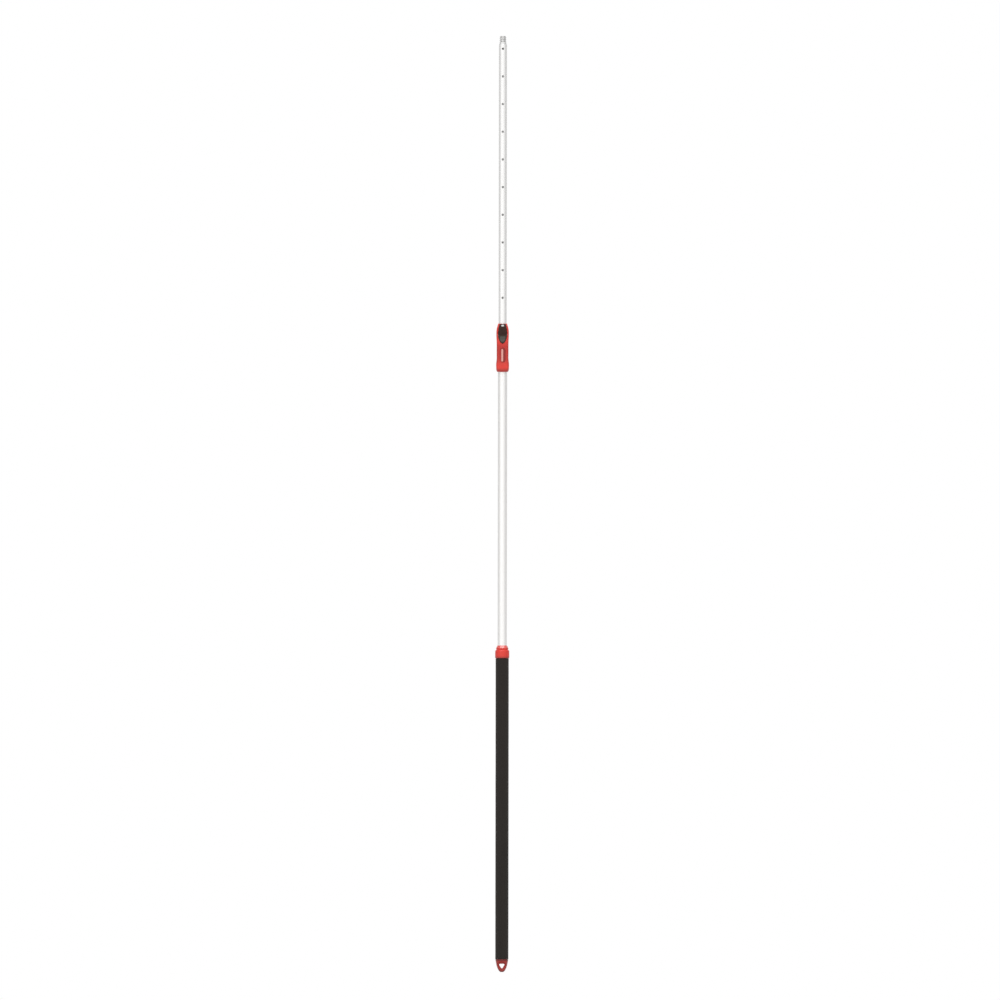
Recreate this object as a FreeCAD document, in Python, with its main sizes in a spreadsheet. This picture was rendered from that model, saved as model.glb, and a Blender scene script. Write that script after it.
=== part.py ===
import FreeCAD, Part
import Sketcher
import math
import os

# Telescopic extension pole for window cleaning tools.
# Millimetres. +Z runs up the pole, the index holes and the thumb lever face -Y (the front),
# and the origin is the foot of the end cap on the pole's axis.

Vector = FreeCAD.Vector
Rotation = FreeCAD.Rotation
Placement = FreeCAD.Placement

# alias, value, what it measures
DIMENSIONS = [
    ("tube_od", 25.4, "outer tube, outside diameter"),
    ("tube_wall", 1.2, "outer tube, wall"),
    ("tube_bottom", 35.0, "outer tube, lower end"),
    ("tube_top", 1766.0, "outer tube, upper end inside the housing"),
    ("inner_od", 22.2, "inner tube, outside diameter"),
    ("inner_wall", 1.2, "inner tube, wall"),
    ("inner_bottom", 868.0, "inner tube, lower end with the pole extended as modelled"),
    ("inner_top", 2553.0, "inner tube, upper end"),
    ("flute_width", 5.0, "flute down the back of the inner tube, width"),
    ("flute_depth", 1.0, "flute, depth"),
    ("index_dia", 6.4, "index hole diameter"),
    ("index_pitch", 76.2, "index hole pitch"),
    ("index_first", 2542.0, "height of the uppermost index hole"),
    ("index_count", 21, "number of index holes"),
    ("lock_height", 1780.0, "height of the lock pin"),
    ("cap_top", 35.0, "end cap, top of its dome"),
    ("cap_radius", 17.5, "end cap, radius at the top of its dome"),
    ("foot_half", 4.0, "end cap, half width of its foot"),
    ("tab_half", 6.2, "end cap, half thickness of the hanging tab"),
    ("spigot_top", 75.0, "end cap spigot, upper end"),
    ("spigot_radius", 11.45, "end cap spigot, radius"),
    ("spigot_bore", 8.2, "end cap spigot, bore radius"),
    ("spigot_floor", 40.0, "end cap spigot, floor of its bore"),
    ("eye_top", 22.6, "hanging eye, upper edge"),
    ("eye_point", 8.1, "hanging eye, lower point before rounding"),
    ("eye_half", 9.2, "hanging eye, half width before rounding"),
    ("cap_rivet_z", 55.0, "end cap rivets, height"),
    ("cap_rivet_radius", 1.6, "end cap rivets, radius"),
    ("cap_rivet_start", 8.5, "end cap rivets, inner end's distance from the axis"),
    ("foam_od", 36.3, "foam grip, outside diameter"),
    ("foam_id", 25.6, "foam grip, bore"),
    ("foam_bottom", 35.05, "foam grip, lower end"),
    ("foam_top", 863.95, "foam grip, upper end"),
    ("foam_bevel", 0.8, "foam grip, bevel of its ends"),
    ("collar_od", 39.0, "grip collar, outside diameter"),
    ("collar_bottom", 864.0, "grip collar, lower end"),
    ("collar_top", 899.0, "grip collar, upper end"),
    ("collar_bore", 25.5, "grip collar, bore"),
    ("body_bottom", 1652.0, "lock housing, lower end"),
    ("body_top", 1785.0, "lock housing, upper end"),
    ("body_bore", 25.5, "lock housing, bore over the outer tube"),
    ("body_shoulder", 1777.0, "lock housing, shoulder above the wiper"),
    ("body_throat", 22.7, "lock housing, throat over the inner tube"),
    ("bush_bottom", 1766.2, "guide bush, lower end"),
    ("bush_top", 1774.0, "guide bush, upper end"),
    ("bush_bore", 22.3, "guide bush, bore"),
    ("bush_key", 4.6, "guide bush, key width"),
    ("pivot_y", 18.5, "lever pivot, distance in front of the axis"),
    ("pivot_z", 1754.0, "lever pivot, height"),
    ("pivot_dia", 3.0, "lever pivot pin, diameter"),
    ("pivot_length", 32.0, "lever pivot pin, length"),
    ("lever_angle", 7.8, "lever, turn between locked and released"),
    ("lever_half", 12.2, "lever, half width"),
    ("lever_bottom", 1730.3, "lever, lower end when locked"),
    ("lever_shoulder", 1757.0, "lever, top of its leaf-shaped lower end"),
    ("lever_bend", 1762.0, "lever, height above which its sides lean in"),
    ("lever_top", 1784.0, "lever, upper end when locked"),
    ("lever_top_half", 8.8, "lever, half width at the upper end"),
    ("lever_gap", 0.7, "gap around the lever in the housing"),
    ("lever_back", 15.0, "lever, back face's distance in front of the axis"),
    ("lever_deep", 10.5, "lever, depth of its blank"),
    ("pocket_floor", 14.8, "lever pocket floor, distance in front of the axis"),
    ("pad_low", 1735.6, "thumb pad bed, lower end"),
    ("pad_high", 1751.0, "thumb pad bed, upper end"),
    ("pad_half", 7.4, "thumb pad bed, half width"),
    ("pad_floor", 21.75, "thumb pad bed, floor's distance in front of the axis"),
    ("pin_dia", 4.6, "lock pin, diameter"),
    ("pin_tip", 8.1, "lock pin, tip distance from the axis when locked"),
    ("pin_seat", 20.3, "lock pin, seat of its head in front of the axis when locked"),
    ("pin_head_long", 7.6, "lock pin head, long side"),
    ("pin_head_wide", 3.8, "lock pin head, short side"),
    ("spring_wire", 0.8, "lever spring, wire diameter"),
    ("spring_radius", 2.7, "lever spring, mean radius"),
    ("spring_pitch", 1.15, "lever spring, pitch while the lever is pressed"),
    ("spring_height", 4.0, "lever spring, height over wire centres"),
    ("spring_z", 1739.9, "lever spring and its seat, height of the centre line"),
    ("spring_bore_z", 1740.0, "lever's spring bore, height when locked"),
    ("screw_dia", 3.0, "self-tapping screws, diameter"),
    ("screw_head", 5.6, "self-tapping screws, head diameter"),
    ("screw_head_tall", 1.7, "self-tapping screws, head height"),
    ("screw_tip", 11.55, "self-tapping screws, tip distance behind the axis"),
    ("collar_screw_z", 875.0, "collar screw, height"),
    ("collar_screw_seat", 16.65, "collar screw, underside of its head behind the axis"),
    ("housing_screw_low", 1668.0, "lower housing screw, height"),
    ("housing_screw_high", 1716.0, "upper housing screw, height"),
    ("housing_screw_seat", 13.9, "housing screws, underside of their heads behind the axis"),
    ("tip_radius", 9.525, "tool tip, plain shank radius"),
    ("tip_core", 7.4, "tool tip, thread root radius"),
    ("tip_crest", 9.3, "tool tip, thread crest radius"),
    ("tip_pitch", 5.08, "tool tip, thread pitch"),
    ("tip_top", 2577.0, "tool tip, upper end"),
    ("tip_pin_z", 2522.0, "tool tip cross pin, height"),
    ("tip_pin_radius", 2.0, "tool tip cross pin, radius"),
    ("plug_bottom", 2503.0, "tool tip plug, lower end"),
    ("plug_radius", 9.85, "tool tip plug, radius inside the inner tube"),
    ("bush_rivet_z", 881.0, "inner bush rivet, height"),
    ("bush_rivet_radius", 1.55, "inner bush rivet, radius"),
    ("inlay_half", 2.5, "inlay strip, half width"),
    ("inlay_low", 1681.0, "inlay strip, lower end"),
    ("inlay_high", 1715.0, "inlay strip, upper end"),
]


class Dim:
    """A number with the spreadsheet expression it comes from."""

    def __init__(self, value, text):
        self.value = float(value)
        self.text = text

    def __add__(self, other):
        other = as_dim(other)
        return Dim(self.value + other.value, "(%s + %s)" % (self.text, other.text))

    def __sub__(self, other):
        other = as_dim(other)
        return Dim(self.value - other.value, "(%s - %s)" % (self.text, other.text))

    def __mul__(self, other):
        other = as_dim(other)
        return Dim(self.value * other.value, "(%s * %s)" % (self.text, other.text))

    def __truediv__(self, other):
        other = as_dim(other)
        return Dim(self.value / other.value, "(%s / %s)" % (self.text, other.text))

    def __neg__(self):
        return Dim(-self.value, "(0 - %s)" % self.text)

    def __rsub__(self, other):
        return as_dim(other) - self


def as_dim(number):
    return number if isinstance(number, Dim) else Dim(number, "%.6f" % number)


class Sheet:
    """Holds one Dim per alias of the spreadsheet."""


doc = FreeCAD.newDocument("extension_pole")
sheet = doc.addObject("Spreadsheet::Sheet", "dims")
dims = Sheet()
for row, (alias, value, note) in enumerate(DIMENSIONS, start=1):
    sheet.set("A%d" % row, alias)
    sheet.set("B%d" % row, str(value))
    sheet.set("C%d" % row, note)
    sheet.setAlias("B%d" % row, alias)
    setattr(dims, alias, Dim(value, "dims." + alias))
doc.recompute()

tube_radius = dims.tube_od / 2
tube_bore_radius = tube_radius - dims.tube_wall
inner_radius = dims.inner_od / 2
inner_bore_radius = inner_radius - dims.inner_wall
flute_half = dims.flute_width / 2
bush_bore_radius = dims.bush_bore / 2
pin_radius = dims.pin_dia / 2
pivot_radius = dims.pivot_dia / 2
spring_outer_radius = dims.spring_radius + dims.spring_wire / 2
screw_radius = dims.screw_dia / 2
HOLE_CLEARANCE = 0.05  # radial, around screws and rivets
HOUSING_SCREWS = (dims.housing_screw_low, dims.housing_screw_high)

# distances from the axis of sketch planes clear of every piece
FRONT = 30.0
BACK = 24.0

TO_BACK = Rotation(Vector(1, 0, 0), -90)  # +Z turned to +Y
TO_FRONT = Rotation(Vector(1, 0, 0), 90)  # +Z turned to -Y
TO_SIDE = Rotation(Vector(0, 1, 0), 90)  # +Z turned to +X

# the lever and its pin are drawn locked, and stand released at rest
pivot = Vector(0, -dims.pivot_y.value, dims.pivot_z.value)
lever_turn = Rotation(Vector(1, 0, 0), dims.lever_angle.value)
RELEASED = Placement(pivot - lever_turn.multVec(pivot), lever_turn)

# ---------------------------------------------------------------- bodies and sketches

pieces = []
volumes = {}  # latest volume of each body, by name


def add_piece(obj, label):
    obj.Label = label
    pieces.append(obj)
    return obj


def new_body(name):
    return add_piece(doc.addObject("PartDesign::Body", name + "_body"), name)


def origin_feature(body, role):
    return next(f for f in body.Origin.OriginFeatures if f.Role == role)


def bind(obj, prop, size):
    """Set a property and tie it to the sheet."""
    size = as_dim(size)
    setattr(obj, prop, size.value)
    obj.setExpression(prop, size.text)


def new_sketch(body, name, role, offset=0):
    """A sketch on one of its body's origin planes, moved along the plane's normal.
    XZ_Plane's normal is -Y, XY_Plane's is +Z and YZ_Plane's is +X."""
    sketch = body.newObject("Sketcher::SketchObject", name)
    sketch.AttachmentSupport = [(origin_feature(body, role), "")]
    sketch.MapMode = "FlatFace"
    offset = as_dim(offset)
    sketch.AttachmentOffset = Placement(Vector(0, 0, offset.value), Rotation())
    sketch.setExpression("AttachmentOffset.Base.z", offset.text)
    return sketch


def drive(sketch, kind, refs, value, text):
    """A named dimension of a sketch bound to the sheet."""
    number = sketch.addConstraint(Sketcher.Constraint(kind, *refs, value))
    name = "c%d" % number
    sketch.renameConstraint(number, name)
    sketch.setExpression("Constraints." + name, text)


def link(sketch, kind, *refs):
    sketch.addConstraint(Sketcher.Constraint(kind, *refs))


def pin_point(sketch, geo, end, x, y):
    """Fix a sketch point at x, y, both bound to the sheet."""
    # -2 is the vertical axis and -1 the horizontal one
    for kind, axis, place_at in (("DistanceX", -2, as_dim(x)), ("DistanceY", -1, as_dim(y))):
        if abs(place_at.value) < 1e-9:
            link(sketch, "PointOnObject", geo, end, axis)
        elif place_at.value > 0:
            drive(sketch, kind, (-1, 1, geo, end), place_at.value, place_at.text)
        else:
            drive(sketch, kind, (geo, end, -1, 1), -place_at.value, "0 - " + place_at.text)


def flat_vector(point):
    return Vector(as_dim(point[0]).value, as_dim(point[1]).value, 0)


def outline(sketch, items):
    """A closed loop. items are points (x, y), or ("arc", (x, y)) for an arc through that
    point, or ("curve", [(x, y), ...]) for a smooth curve through those points, each
    between the point before it and the point after it."""
    points = [(i, item) for i, item in enumerate(items) if not isinstance(item[0], str)]
    edges = []  # geometry index, (first end, last end), arc centre or None
    for k, (i, point) in enumerate(points):
        following = points[(k + 1) % len(points)][1]
        between = items[(i + 1) % len(items)]
        start, end = flat_vector(point), flat_vector(following)
        ends, centre = (1, 2), None
        if between[0] == "arc":
            geo = sketch.addGeometry(Part.Arc(start, flat_vector(between[1]), end), False)
            # an arc of a sketch runs anticlockwise, so its ends may be the other way round
            if (sketch.getPoint(geo, 1) - start).Length >= 1e-6:
                ends = (2, 1)
            centre = sketch.Geometry[geo].Center
        elif between[0] == "curve":
            curve = Part.BSplineCurve()
            curve.interpolate([start] + [flat_vector(c) for c in between[1]] + [end])
            geo = sketch.addGeometry(curve, False)
        else:
            geo = sketch.addGeometry(Part.LineSegment(start, end), False)
        edges.append((geo, ends, centre))
    for k, (geo, ends, _) in enumerate(edges):
        next_geo, next_ends, _ = edges[(k + 1) % len(edges)]
        link(sketch, "Coincident", geo, ends[1], next_geo, next_ends[0])
    for (_, point), (geo, ends, _) in zip(points, edges):
        pin_point(sketch, geo, ends[0], point[0], point[1])
    for geo, _, centre in edges:
        if centre is not None:
            hold_centre(sketch, geo, centre)


def hold_centre(sketch, geo, centre):
    """The last freedom of an arc with fixed ends is its centre's way along the
    chord's normal, held from the arc's first end."""
    start, end = sketch.getPoint(geo, 1), sketch.getPoint(geo, 2)
    flat = abs(end.x - start.x) >= abs(end.y - start.y)
    way = (centre.y - start.y) if flat else (centre.x - start.x)
    if abs(way) < 1e-6:
        link(sketch, "Horizontal" if flat else "Vertical", geo, 3, geo, 1)
        return
    kind = "DistanceY" if flat else "DistanceX"
    refs = (geo, 1, geo, 3) if way > 0 else (geo, 3, geo, 1)
    drive(sketch, kind, refs, abs(way), "%.6f" % abs(way))


def circle(sketch, x, y, radius):
    radius = as_dim(radius)
    centre = flat_vector((x, y))
    geo = sketch.addGeometry(Part.Circle(centre, Vector(0, 0, 1), radius.value), False)
    drive(sketch, "Radius", (geo,), radius.value, radius.text)
    if centre.Length < 1e-9:
        link(sketch, "Coincident", geo, 3, -1, 1)
    else:
        pin_point(sketch, geo, 3, x, y)


def rect(sketch, x0, y0, x1, y1):
    outline(sketch, [(x0, y0), (x1, y0), (x1, y1), (x0, y1)])


def stadium(sketch, x, low, high, half):
    """An upright slot shape centred on x."""
    x, low, high, half = as_dim(x), as_dim(low), as_dim(high), as_dim(half)
    outline(sketch, [
        (x + half, low + half),
        (x + half, high - half),
        ("arc", (x, high)),
        (x - half, high - half),
        (x - half, low + half),
        ("arc", (x, low)),
    ])


def rounded_section(sketch, *sizes):
    """A rounded rectangle: half width, front and back distances, front and back
    corner radii."""
    half, front, back, front_radius, back_radius = [as_dim(size) for size in sizes]
    side, fore_y, rear_y = half.value, -front.value, back.value
    front_r, back_r = front_radius.value, back_radius.value

    def line(x0, y0, x1, y1):
        segment = Part.LineSegment(Vector(x0, y0, 0), Vector(x1, y1, 0))
        return sketch.addGeometry(segment, False)

    def arc(x, y, radius, start):
        whole = Part.Circle(Vector(x, y, 0), Vector(0, 0, 1), radius)
        quarter = Part.ArcOfCircle(whole, math.radians(start), math.radians(start + 90))
        return sketch.addGeometry(quarter, False)

    right = line(side, fore_y + front_r, side, rear_y - back_r)
    rear_right = arc(side - back_r, rear_y - back_r, back_r, 0)
    rear = line(side - back_r, rear_y, -side + back_r, rear_y)
    rear_left = arc(-side + back_r, rear_y - back_r, back_r, 90)
    left = line(-side, rear_y - back_r, -side, fore_y + front_r)
    fore_left = arc(-side + front_r, fore_y + front_r, front_r, 180)
    fore = line(-side + front_r, fore_y, side - front_r, fore_y)
    fore_right = arc(side - front_r, fore_y + front_r, front_r, 270)
    ring = [right, rear_right, rear, rear_left, left, fore_left, fore, fore_right]
    for one, two in zip(ring, ring[1:] + ring[:1]):
        link(sketch, "Tangent", one, 2, two, 1)
    link(sketch, "Vertical", right)
    link(sketch, "Vertical", left)
    link(sketch, "Horizontal", rear)
    link(sketch, "Horizontal", fore)
    drive(sketch, "DistanceX", (-1, 1, right, 1), half.value, half.text)
    drive(sketch, "DistanceX", (left, 1, -1, 1), half.value, half.text)
    drive(sketch, "DistanceY", (-1, 1, rear, 1), back.value, back.text)
    drive(sketch, "DistanceY", (fore, 1, -1, 1), front.value, front.text)
    for corner in (rear_right, rear_left):
        drive(sketch, "Radius", (corner,), back_r, back_radius.text)
    for corner in (fore_left, fore_right):
        drive(sketch, "Radius", (corner,), front_r, front_radius.text)


# ---------------------------------------------------------------- features


def recompute(body, feature):
    doc.recompute()
    if "Invalid" in feature.State or "Error" in feature.State or feature.Shape.isNull():
        raise RuntimeError("feature %s of %s failed: %s %s" % (
            feature.Name, body.Label, feature.State, feature.getStatusString()))


def settle(body, feature, grows):
    """Recompute one feature and check that it did what it is for."""
    before = volumes.get(body.Name, 0.0)
    recompute(body, feature)
    now = feature.Shape.Volume
    if grows and not now > before + 1e-6:
        raise RuntimeError("feature %s of %s added nothing" % (feature.Name, body.Label))
    if not grows and not now < before - 1e-6:
        raise RuntimeError("feature %s of %s cut nothing" % (feature.Name, body.Label))
    volumes[body.Name] = now
    return feature


def revolve(body, sketch, name):
    feature = body.newObject("PartDesign::Revolution", name)
    feature.Profile = sketch
    feature.ReferenceAxis = (sketch, ["V_Axis"])
    feature.Angle = 360
    settle(body, feature, grows=True)


def turn_profile(body, sketch_name, name, items):
    """Revolve an outline of (radius, height) points about the body's Z axis."""
    sketch = new_sketch(body, sketch_name, "XZ_Plane")
    outline(sketch, items)
    revolve(body, sketch, name)


def pad(body, sketch, length, name):
    feature = body.newObject("PartDesign::Pad", name)
    feature.Profile = sketch
    bind(feature, "Length", length)
    return settle(body, feature, grows=True)


def pocket(body, sketch, length, name, along_normal=False):
    """Cuts against the sketch's normal unless told otherwise."""
    feature = body.newObject("PartDesign::Pocket", name)
    feature.Profile = sketch
    bind(feature, "Length", length)
    feature.Reversed = along_normal
    return settle(body, feature, grows=False)


def cut_through(body, sketch, name):
    """Cuts both ways through everything."""
    feature = body.newObject("PartDesign::Pocket", name)
    feature.Profile = sketch
    feature.Type = 1
    feature.Midplane = True
    return settle(body, feature, grows=False)


def helix(body, sketch, pitch, height, name):
    feature = body.newObject("PartDesign::AdditiveHelix", name)
    feature.Profile = sketch
    feature.ReferenceAxis = (sketch, ["V_Axis"])
    feature.Mode = 0
    bind(feature, "Pitch", pitch)
    bind(feature, "Height", height)
    settle(body, feature, grows=True)


def front_hole(body, sketch_name, name, z, radius, stop):
    """A round hole from the front, down to the distance stop in front of the axis."""
    sketch = new_sketch(body, sketch_name, "XZ_Plane", FRONT)
    circle(sketch, 0, z, radius)
    return pocket(body, sketch, FRONT - stop, name)


def side_hole(body, sketch_name, name, y, z, radius):
    """A round hole along X through the whole body."""
    sketch = new_sketch(body, sketch_name, "YZ_Plane")
    circle(sketch, y, z, radius)
    return cut_through(body, sketch, name)


def screw_holes(body, sketch_name, name, heights, depth):
    """Screw holes from the axis towards the back."""
    sketch = new_sketch(body, sketch_name, "XZ_Plane")
    for z in heights:
        circle(sketch, 0, z, screw_radius + HOLE_CLEARANCE)
    pocket(body, sketch, depth, name)


def screw_seats(body, sketch_name, name, heights, head_seat):
    """Counterbores from the back, just deeper than the screw heads' undersides."""
    sketch = new_sketch(body, sketch_name, "XZ_Plane", -BACK)
    for z in heights:
        circle(sketch, 0, z, dims.screw_head / 2 + 0.25)
    pocket(body, sketch, BACK - (head_seat - 0.05), name, along_normal=True)


def flute_clearance(body, sketch_name, name, z, length):
    """A channel up the back of a plug, clear of the inner tube's flute."""
    sketch = new_sketch(body, sketch_name, "XY_Plane", z)
    side = flute_half + 1.35
    rect(sketch, -side, inner_bore_radius - 1.15, side, inner_bore_radius + 1)
    pocket(body, sketch, length, name, along_normal=True)


def edges_where(shape, test):
    """Names of the edges whose every sampled point passes the test."""
    names = []
    for i, edge in enumerate(shape.Edges, start=1):
        first, last = edge.FirstParameter, edge.LastParameter
        samples = [edge.valueAt(first + (last - first) * k / 6.0) for k in range(7)]
        if all(test(p) for p in samples):
            names.append("Edge%d" % i)
    return names


def fillet(body, base, names, radius, name):
    feature = body.newObject("PartDesign::Fillet", name)
    feature.Base = (base, names)
    bind(feature, "Radius", radius)
    recompute(body, feature)
    if not feature.Shape.isValid():
        raise RuntimeError("fillet %s of %s failed on %s" % (feature.Name, body.Label, names))
    volumes[body.Name] = feature.Shape.Volume


# ---------------------------------------------------------------- plain solids


def place(obj, base, rotation=None):
    base = [as_dim(c) for c in base]
    obj.Placement = Placement(Vector(*[c.value for c in base]), rotation or Rotation())
    for axis, c in zip("xyz", base):
        obj.setExpression("Placement.Base." + axis, c.text)


def cylinder(name, radius, height, base, rotation):
    solid = doc.addObject("Part::Cylinder", name)
    bind(solid, "Radius", radius)
    bind(solid, "Height", height)
    place(solid, base, rotation)
    return solid


def box(name, size, base):
    solid = doc.addObject("Part::Box", name)
    for prop, side in zip(("Length", "Width", "Height"), size):
        bind(solid, prop, side)
    place(solid, base)
    return solid


def fuse(name, shapes):
    joined = doc.addObject("Part::MultiFuse", name)
    joined.Shapes = shapes
    return joined


def add_group(name, label, members):
    group = doc.addObject("Part::Compound", name)
    group.Links = members
    add_piece(group, label)


CROSS_LONG = 3.0
CROSS_WIDE = 0.7
CROSS_DEEP = 1.0


def screw(name, z, seat):
    """A pan-headed self-tapping screw driven towards the axis from the back, with a
    cross recess. seat is the y of its head's underside."""
    shank = cylinder(name + "_shank", screw_radius, seat - dims.screw_tip,
                     (0, seat, z), TO_FRONT)
    head = cylinder(name + "_head", dims.screw_head / 2, dims.screw_head_tall,
                    (0, seat, z), TO_BACK)
    blank = fuse(name + "_blank", [shank, head])
    recess_y = seat + dims.screw_head_tall - CROSS_DEEP
    bars = []
    for suffix, wide, tall in (("a", CROSS_LONG, CROSS_WIDE), ("b", CROSS_WIDE, CROSS_LONG)):
        bars.append(box(name + "_recess_" + suffix, (wide, CROSS_DEEP, tall),
                        (-wide / 2, recess_y, z - tall / 2)))
    cut = doc.addObject("Part::Cut", name + "_cut")
    cut.Base, cut.Tool = blank, fuse(name + "_cross", bars)
    return cut


# ---------------------------------------------------------------- outer tube and grip


def build_outer_tube():
    body = new_body("outer_tube")
    sketch = new_sketch(body, "tube_section", "XY_Plane", dims.tube_bottom)
    circle(sketch, 0, 0, tube_radius)
    circle(sketch, 0, 0, tube_bore_radius)
    pad(body, sketch, dims.tube_top - dims.tube_bottom, "tube_length")
    screw_holes(body, "screw_holes_profile", "screw_holes",
                HOUSING_SCREWS + (dims.collar_screw_z,), 20)
    side_hole(body, "rivet_holes_profile", "rivet_holes",
              0, dims.cap_rivet_z, dims.cap_rivet_radius + HOLE_CLEARANCE)


# radius, height up the end cap's dome
CAP_DOME = [
    (5.6, 1.4), (8.25, 4.1), (10.0, 6.9), (11.4, 9.6), (13.5, 15.0), (15.0, 20.6), (16.1, 26.0),
]
# y, height down the scoop behind the hanging tab
SCOOP_TOP = 29.5
SCOOP_CURVE = [(14.6, 27.4), (10.9, 24.6), (8.1, 20.0), (6.7, 13.0)]


def rounded_triangle(half, low, high, top_radius, low_radius):
    """Outline items of a triangle standing on its point, with rounded corners. The
    sizes are those of the sharp triangle."""
    corners = [Vector(half, high, 0), Vector(-half, high, 0), Vector(0, low, 0)]
    radii = [top_radius, top_radius, low_radius]
    items = []
    for k, (corner, radius) in enumerate(zip(corners, radii)):
        to_last = corners[k - 1] - corner
        to_next = corners[(k + 1) % 3] - corner
        to_last.normalize()
        to_next.normalize()
        half_angle = math.acos(max(-1.0, min(1.0, to_last.dot(to_next)))) / 2.0
        setback = radius / math.tan(half_angle)
        way = to_last + to_next
        way.normalize()
        middle = corner + way * (radius / math.sin(half_angle)) - way * radius
        start, end = corner + to_last * setback, corner + to_next * setback
        items += [(start.x, start.y), ("arc", (middle.x, middle.y)), (end.x, end.y)]
    return items


def build_end_cap():
    body = new_body("end_cap")
    turn_profile(body, "cap_profile", "cap_turned", [
        (0, 0),
        (dims.foot_half, 0),
        ("curve", CAP_DOME),
        (dims.cap_radius - 0.5, 31.6),
        (dims.cap_radius, 32.4),
        (dims.cap_radius, dims.cap_top),
        (dims.spigot_radius, dims.cap_top),
        (dims.spigot_radius, dims.spigot_top - 2),
        (dims.spigot_radius - 1.2, dims.spigot_top),
        (dims.spigot_bore, dims.spigot_top),
        (dims.spigot_bore, dims.spigot_floor),
        (0, dims.spigot_floor),
    ])
    # the dome is scooped at the front and back, which leaves the hanging tab
    sketch = new_sketch(body, "scoop_profile", "YZ_Plane")
    outline(sketch, [
        (dims.tab_half, -2.0),
        (24.0, -2.0),
        (24.0, SCOOP_TOP),
        (dims.cap_radius - 0.4, SCOOP_TOP),
        ("curve", SCOOP_CURVE),
    ])
    scoop = cut_through(body, sketch, "scoop_back")
    mirror = body.newObject("PartDesign::Mirrored", "scoop_front")
    mirror.Originals = [scoop]
    mirror.MirrorPlane = (origin_feature(body, "XZ_Plane"), [""])
    body.Tip = mirror
    settle(body, mirror, grows=False)
    # the hanging eye stands point down
    sketch = new_sketch(body, "eye_profile", "XZ_Plane")
    outline(sketch, rounded_triangle(
        half=dims.eye_half.value, low=dims.eye_point.value, high=dims.eye_top.value,
        top_radius=2.4, low_radius=2.3))
    cut_through(body, sketch, "eye")
    last = side_hole(body, "cap_rivet_profile", "cap_rivet_holes",
                     0, dims.cap_rivet_z, dims.cap_rivet_radius + HOLE_CLEARANCE)
    eye_rims = edges_where(
        last.Shape, lambda p: abs(p.x) < 12.0 and 6.5 < p.z < 24.5 and abs(p.y) > 5.0)
    fillet(body, last, eye_rims, 1.1, "eye_rounded")


def build_end_cap_rivets():
    """One rivet on each side, just short of the outer tube's surface."""
    outer_end = tube_radius - 0.03
    rivets = []
    for number, start in ((1, dims.cap_rivet_start), (2, -outer_end)):
        rivets.append(cylinder(
            "cap_rivet_%d" % number, dims.cap_rivet_radius, outer_end - dims.cap_rivet_start,
            (start, 0, dims.cap_rivet_z), TO_SIDE))
    add_group("cap_rivets_group", "end_cap_rivets", rivets)


def build_foam_grip():
    radius, bore = dims.foam_od / 2, dims.foam_id / 2
    turn_profile(new_body("foam_grip"), "foam_profile", "foam_turned", [
        (bore, dims.foam_bottom),
        (radius - dims.foam_bevel, dims.foam_bottom),
        (radius, dims.foam_bottom + dims.foam_bevel),
        (radius, dims.foam_top - dims.foam_bevel),
        (radius - dims.foam_bevel, dims.foam_top),
        (bore, dims.foam_top),
    ])


def build_grip_collar():
    body = new_body("grip_collar")
    radius, bore = dims.collar_od / 2, dims.collar_bore / 2
    low, high = dims.collar_bottom, dims.collar_top
    turn_profile(body, "collar_profile", "collar_turned", [
        (bore, low),
        (radius - 1.0, low),
        ("arc", (radius - 0.29, low + 0.29)),
        (radius, low + 1.0),
        (radius, low + 18.5),
        ("arc", (radius - 0.7, low + 21.0)),
        (radius - 2.4, low + 22.9),
        (radius - 3.4, low + 23.2),
        (radius - 3.4, low + 25.6),
        (radius - 2.4, low + 26.0),
        (radius - 2.4, low + 26.7),
        ("arc", (radius - 2.58, low + 27.6)),
        (radius - 3.05, low + 28.5),
        (radius - 6.1, high - 0.5),
        (radius - 6.5, high),
        (bore, high),
    ])
    heights = (dims.collar_screw_z,)
    screw_holes(body, "collar_screw_profile", "collar_screw_hole", heights, 30)
    screw_seats(body, "collar_seat_profile", "collar_screw_seat", heights,
                dims.collar_screw_seat)


def build_collar_screw():
    fixing = screw("collar_fixing", dims.collar_screw_z, dims.collar_screw_seat)
    add_piece(fixing, "collar_screw")


# ---------------------------------------------------------------- lock housing

# height above the lower end, half width, front, back, front corner radius, back corner radius
HOUSING_SECTIONS = [
    (0.0, 14.0, 14.6, 14.4, 12.5, 13.0),
    (1.6, 15.8, 16.9, 15.5, 11.0, 12.5),
    (4.5, 16.9, 18.5, 16.2, 9.5, 12.0),
    (12.0, 17.6, 19.5, 16.6, 8.5, 12.0),
    (25.0, 17.5, 19.5, 16.5, 8.0, 12.0),
    (34.5, 16.3, 19.0, 16.1, 7.5, 12.0),
    (48.0, 16.2, 19.0, 15.9, 7.5, 12.0),
    (66.0, 16.2, 19.2, 15.8, 7.5, 12.0),
    (82.0, 16.4, 20.6, 15.8, 7.0, 12.0),
    (98.0, 17.1, 22.0, 15.9, 6.5, 12.0),
    (110.0, 17.15, 22.1, 15.9, 6.5, 12.0),
    (117.0, 16.6, 21.2, 15.7, 7.0, 12.0),
    (122.5, 15.5, 19.4, 15.1, 8.0, 12.0),
    (127.0, 14.1, 17.2, 14.2, 9.5, 11.8),
    (130.0, 13.2, 15.4, 13.4, 11.0, 11.6),
    (133.0, 12.5, 13.4, 12.6, 11.6, 11.6),
]

# x, z down the +X side of the lever's lower end, which narrows to a rounded point
LEVER_LEAF = [
    (dims.lever_half.value, dims.lever_shoulder.value),
    (11.9, 1751.0), (10.7, 1745.0), (8.6, 1739.4), (5.6, 1734.1), (3.0, 1731.5),
    (0.0, dims.lever_bottom.value),
]


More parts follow.
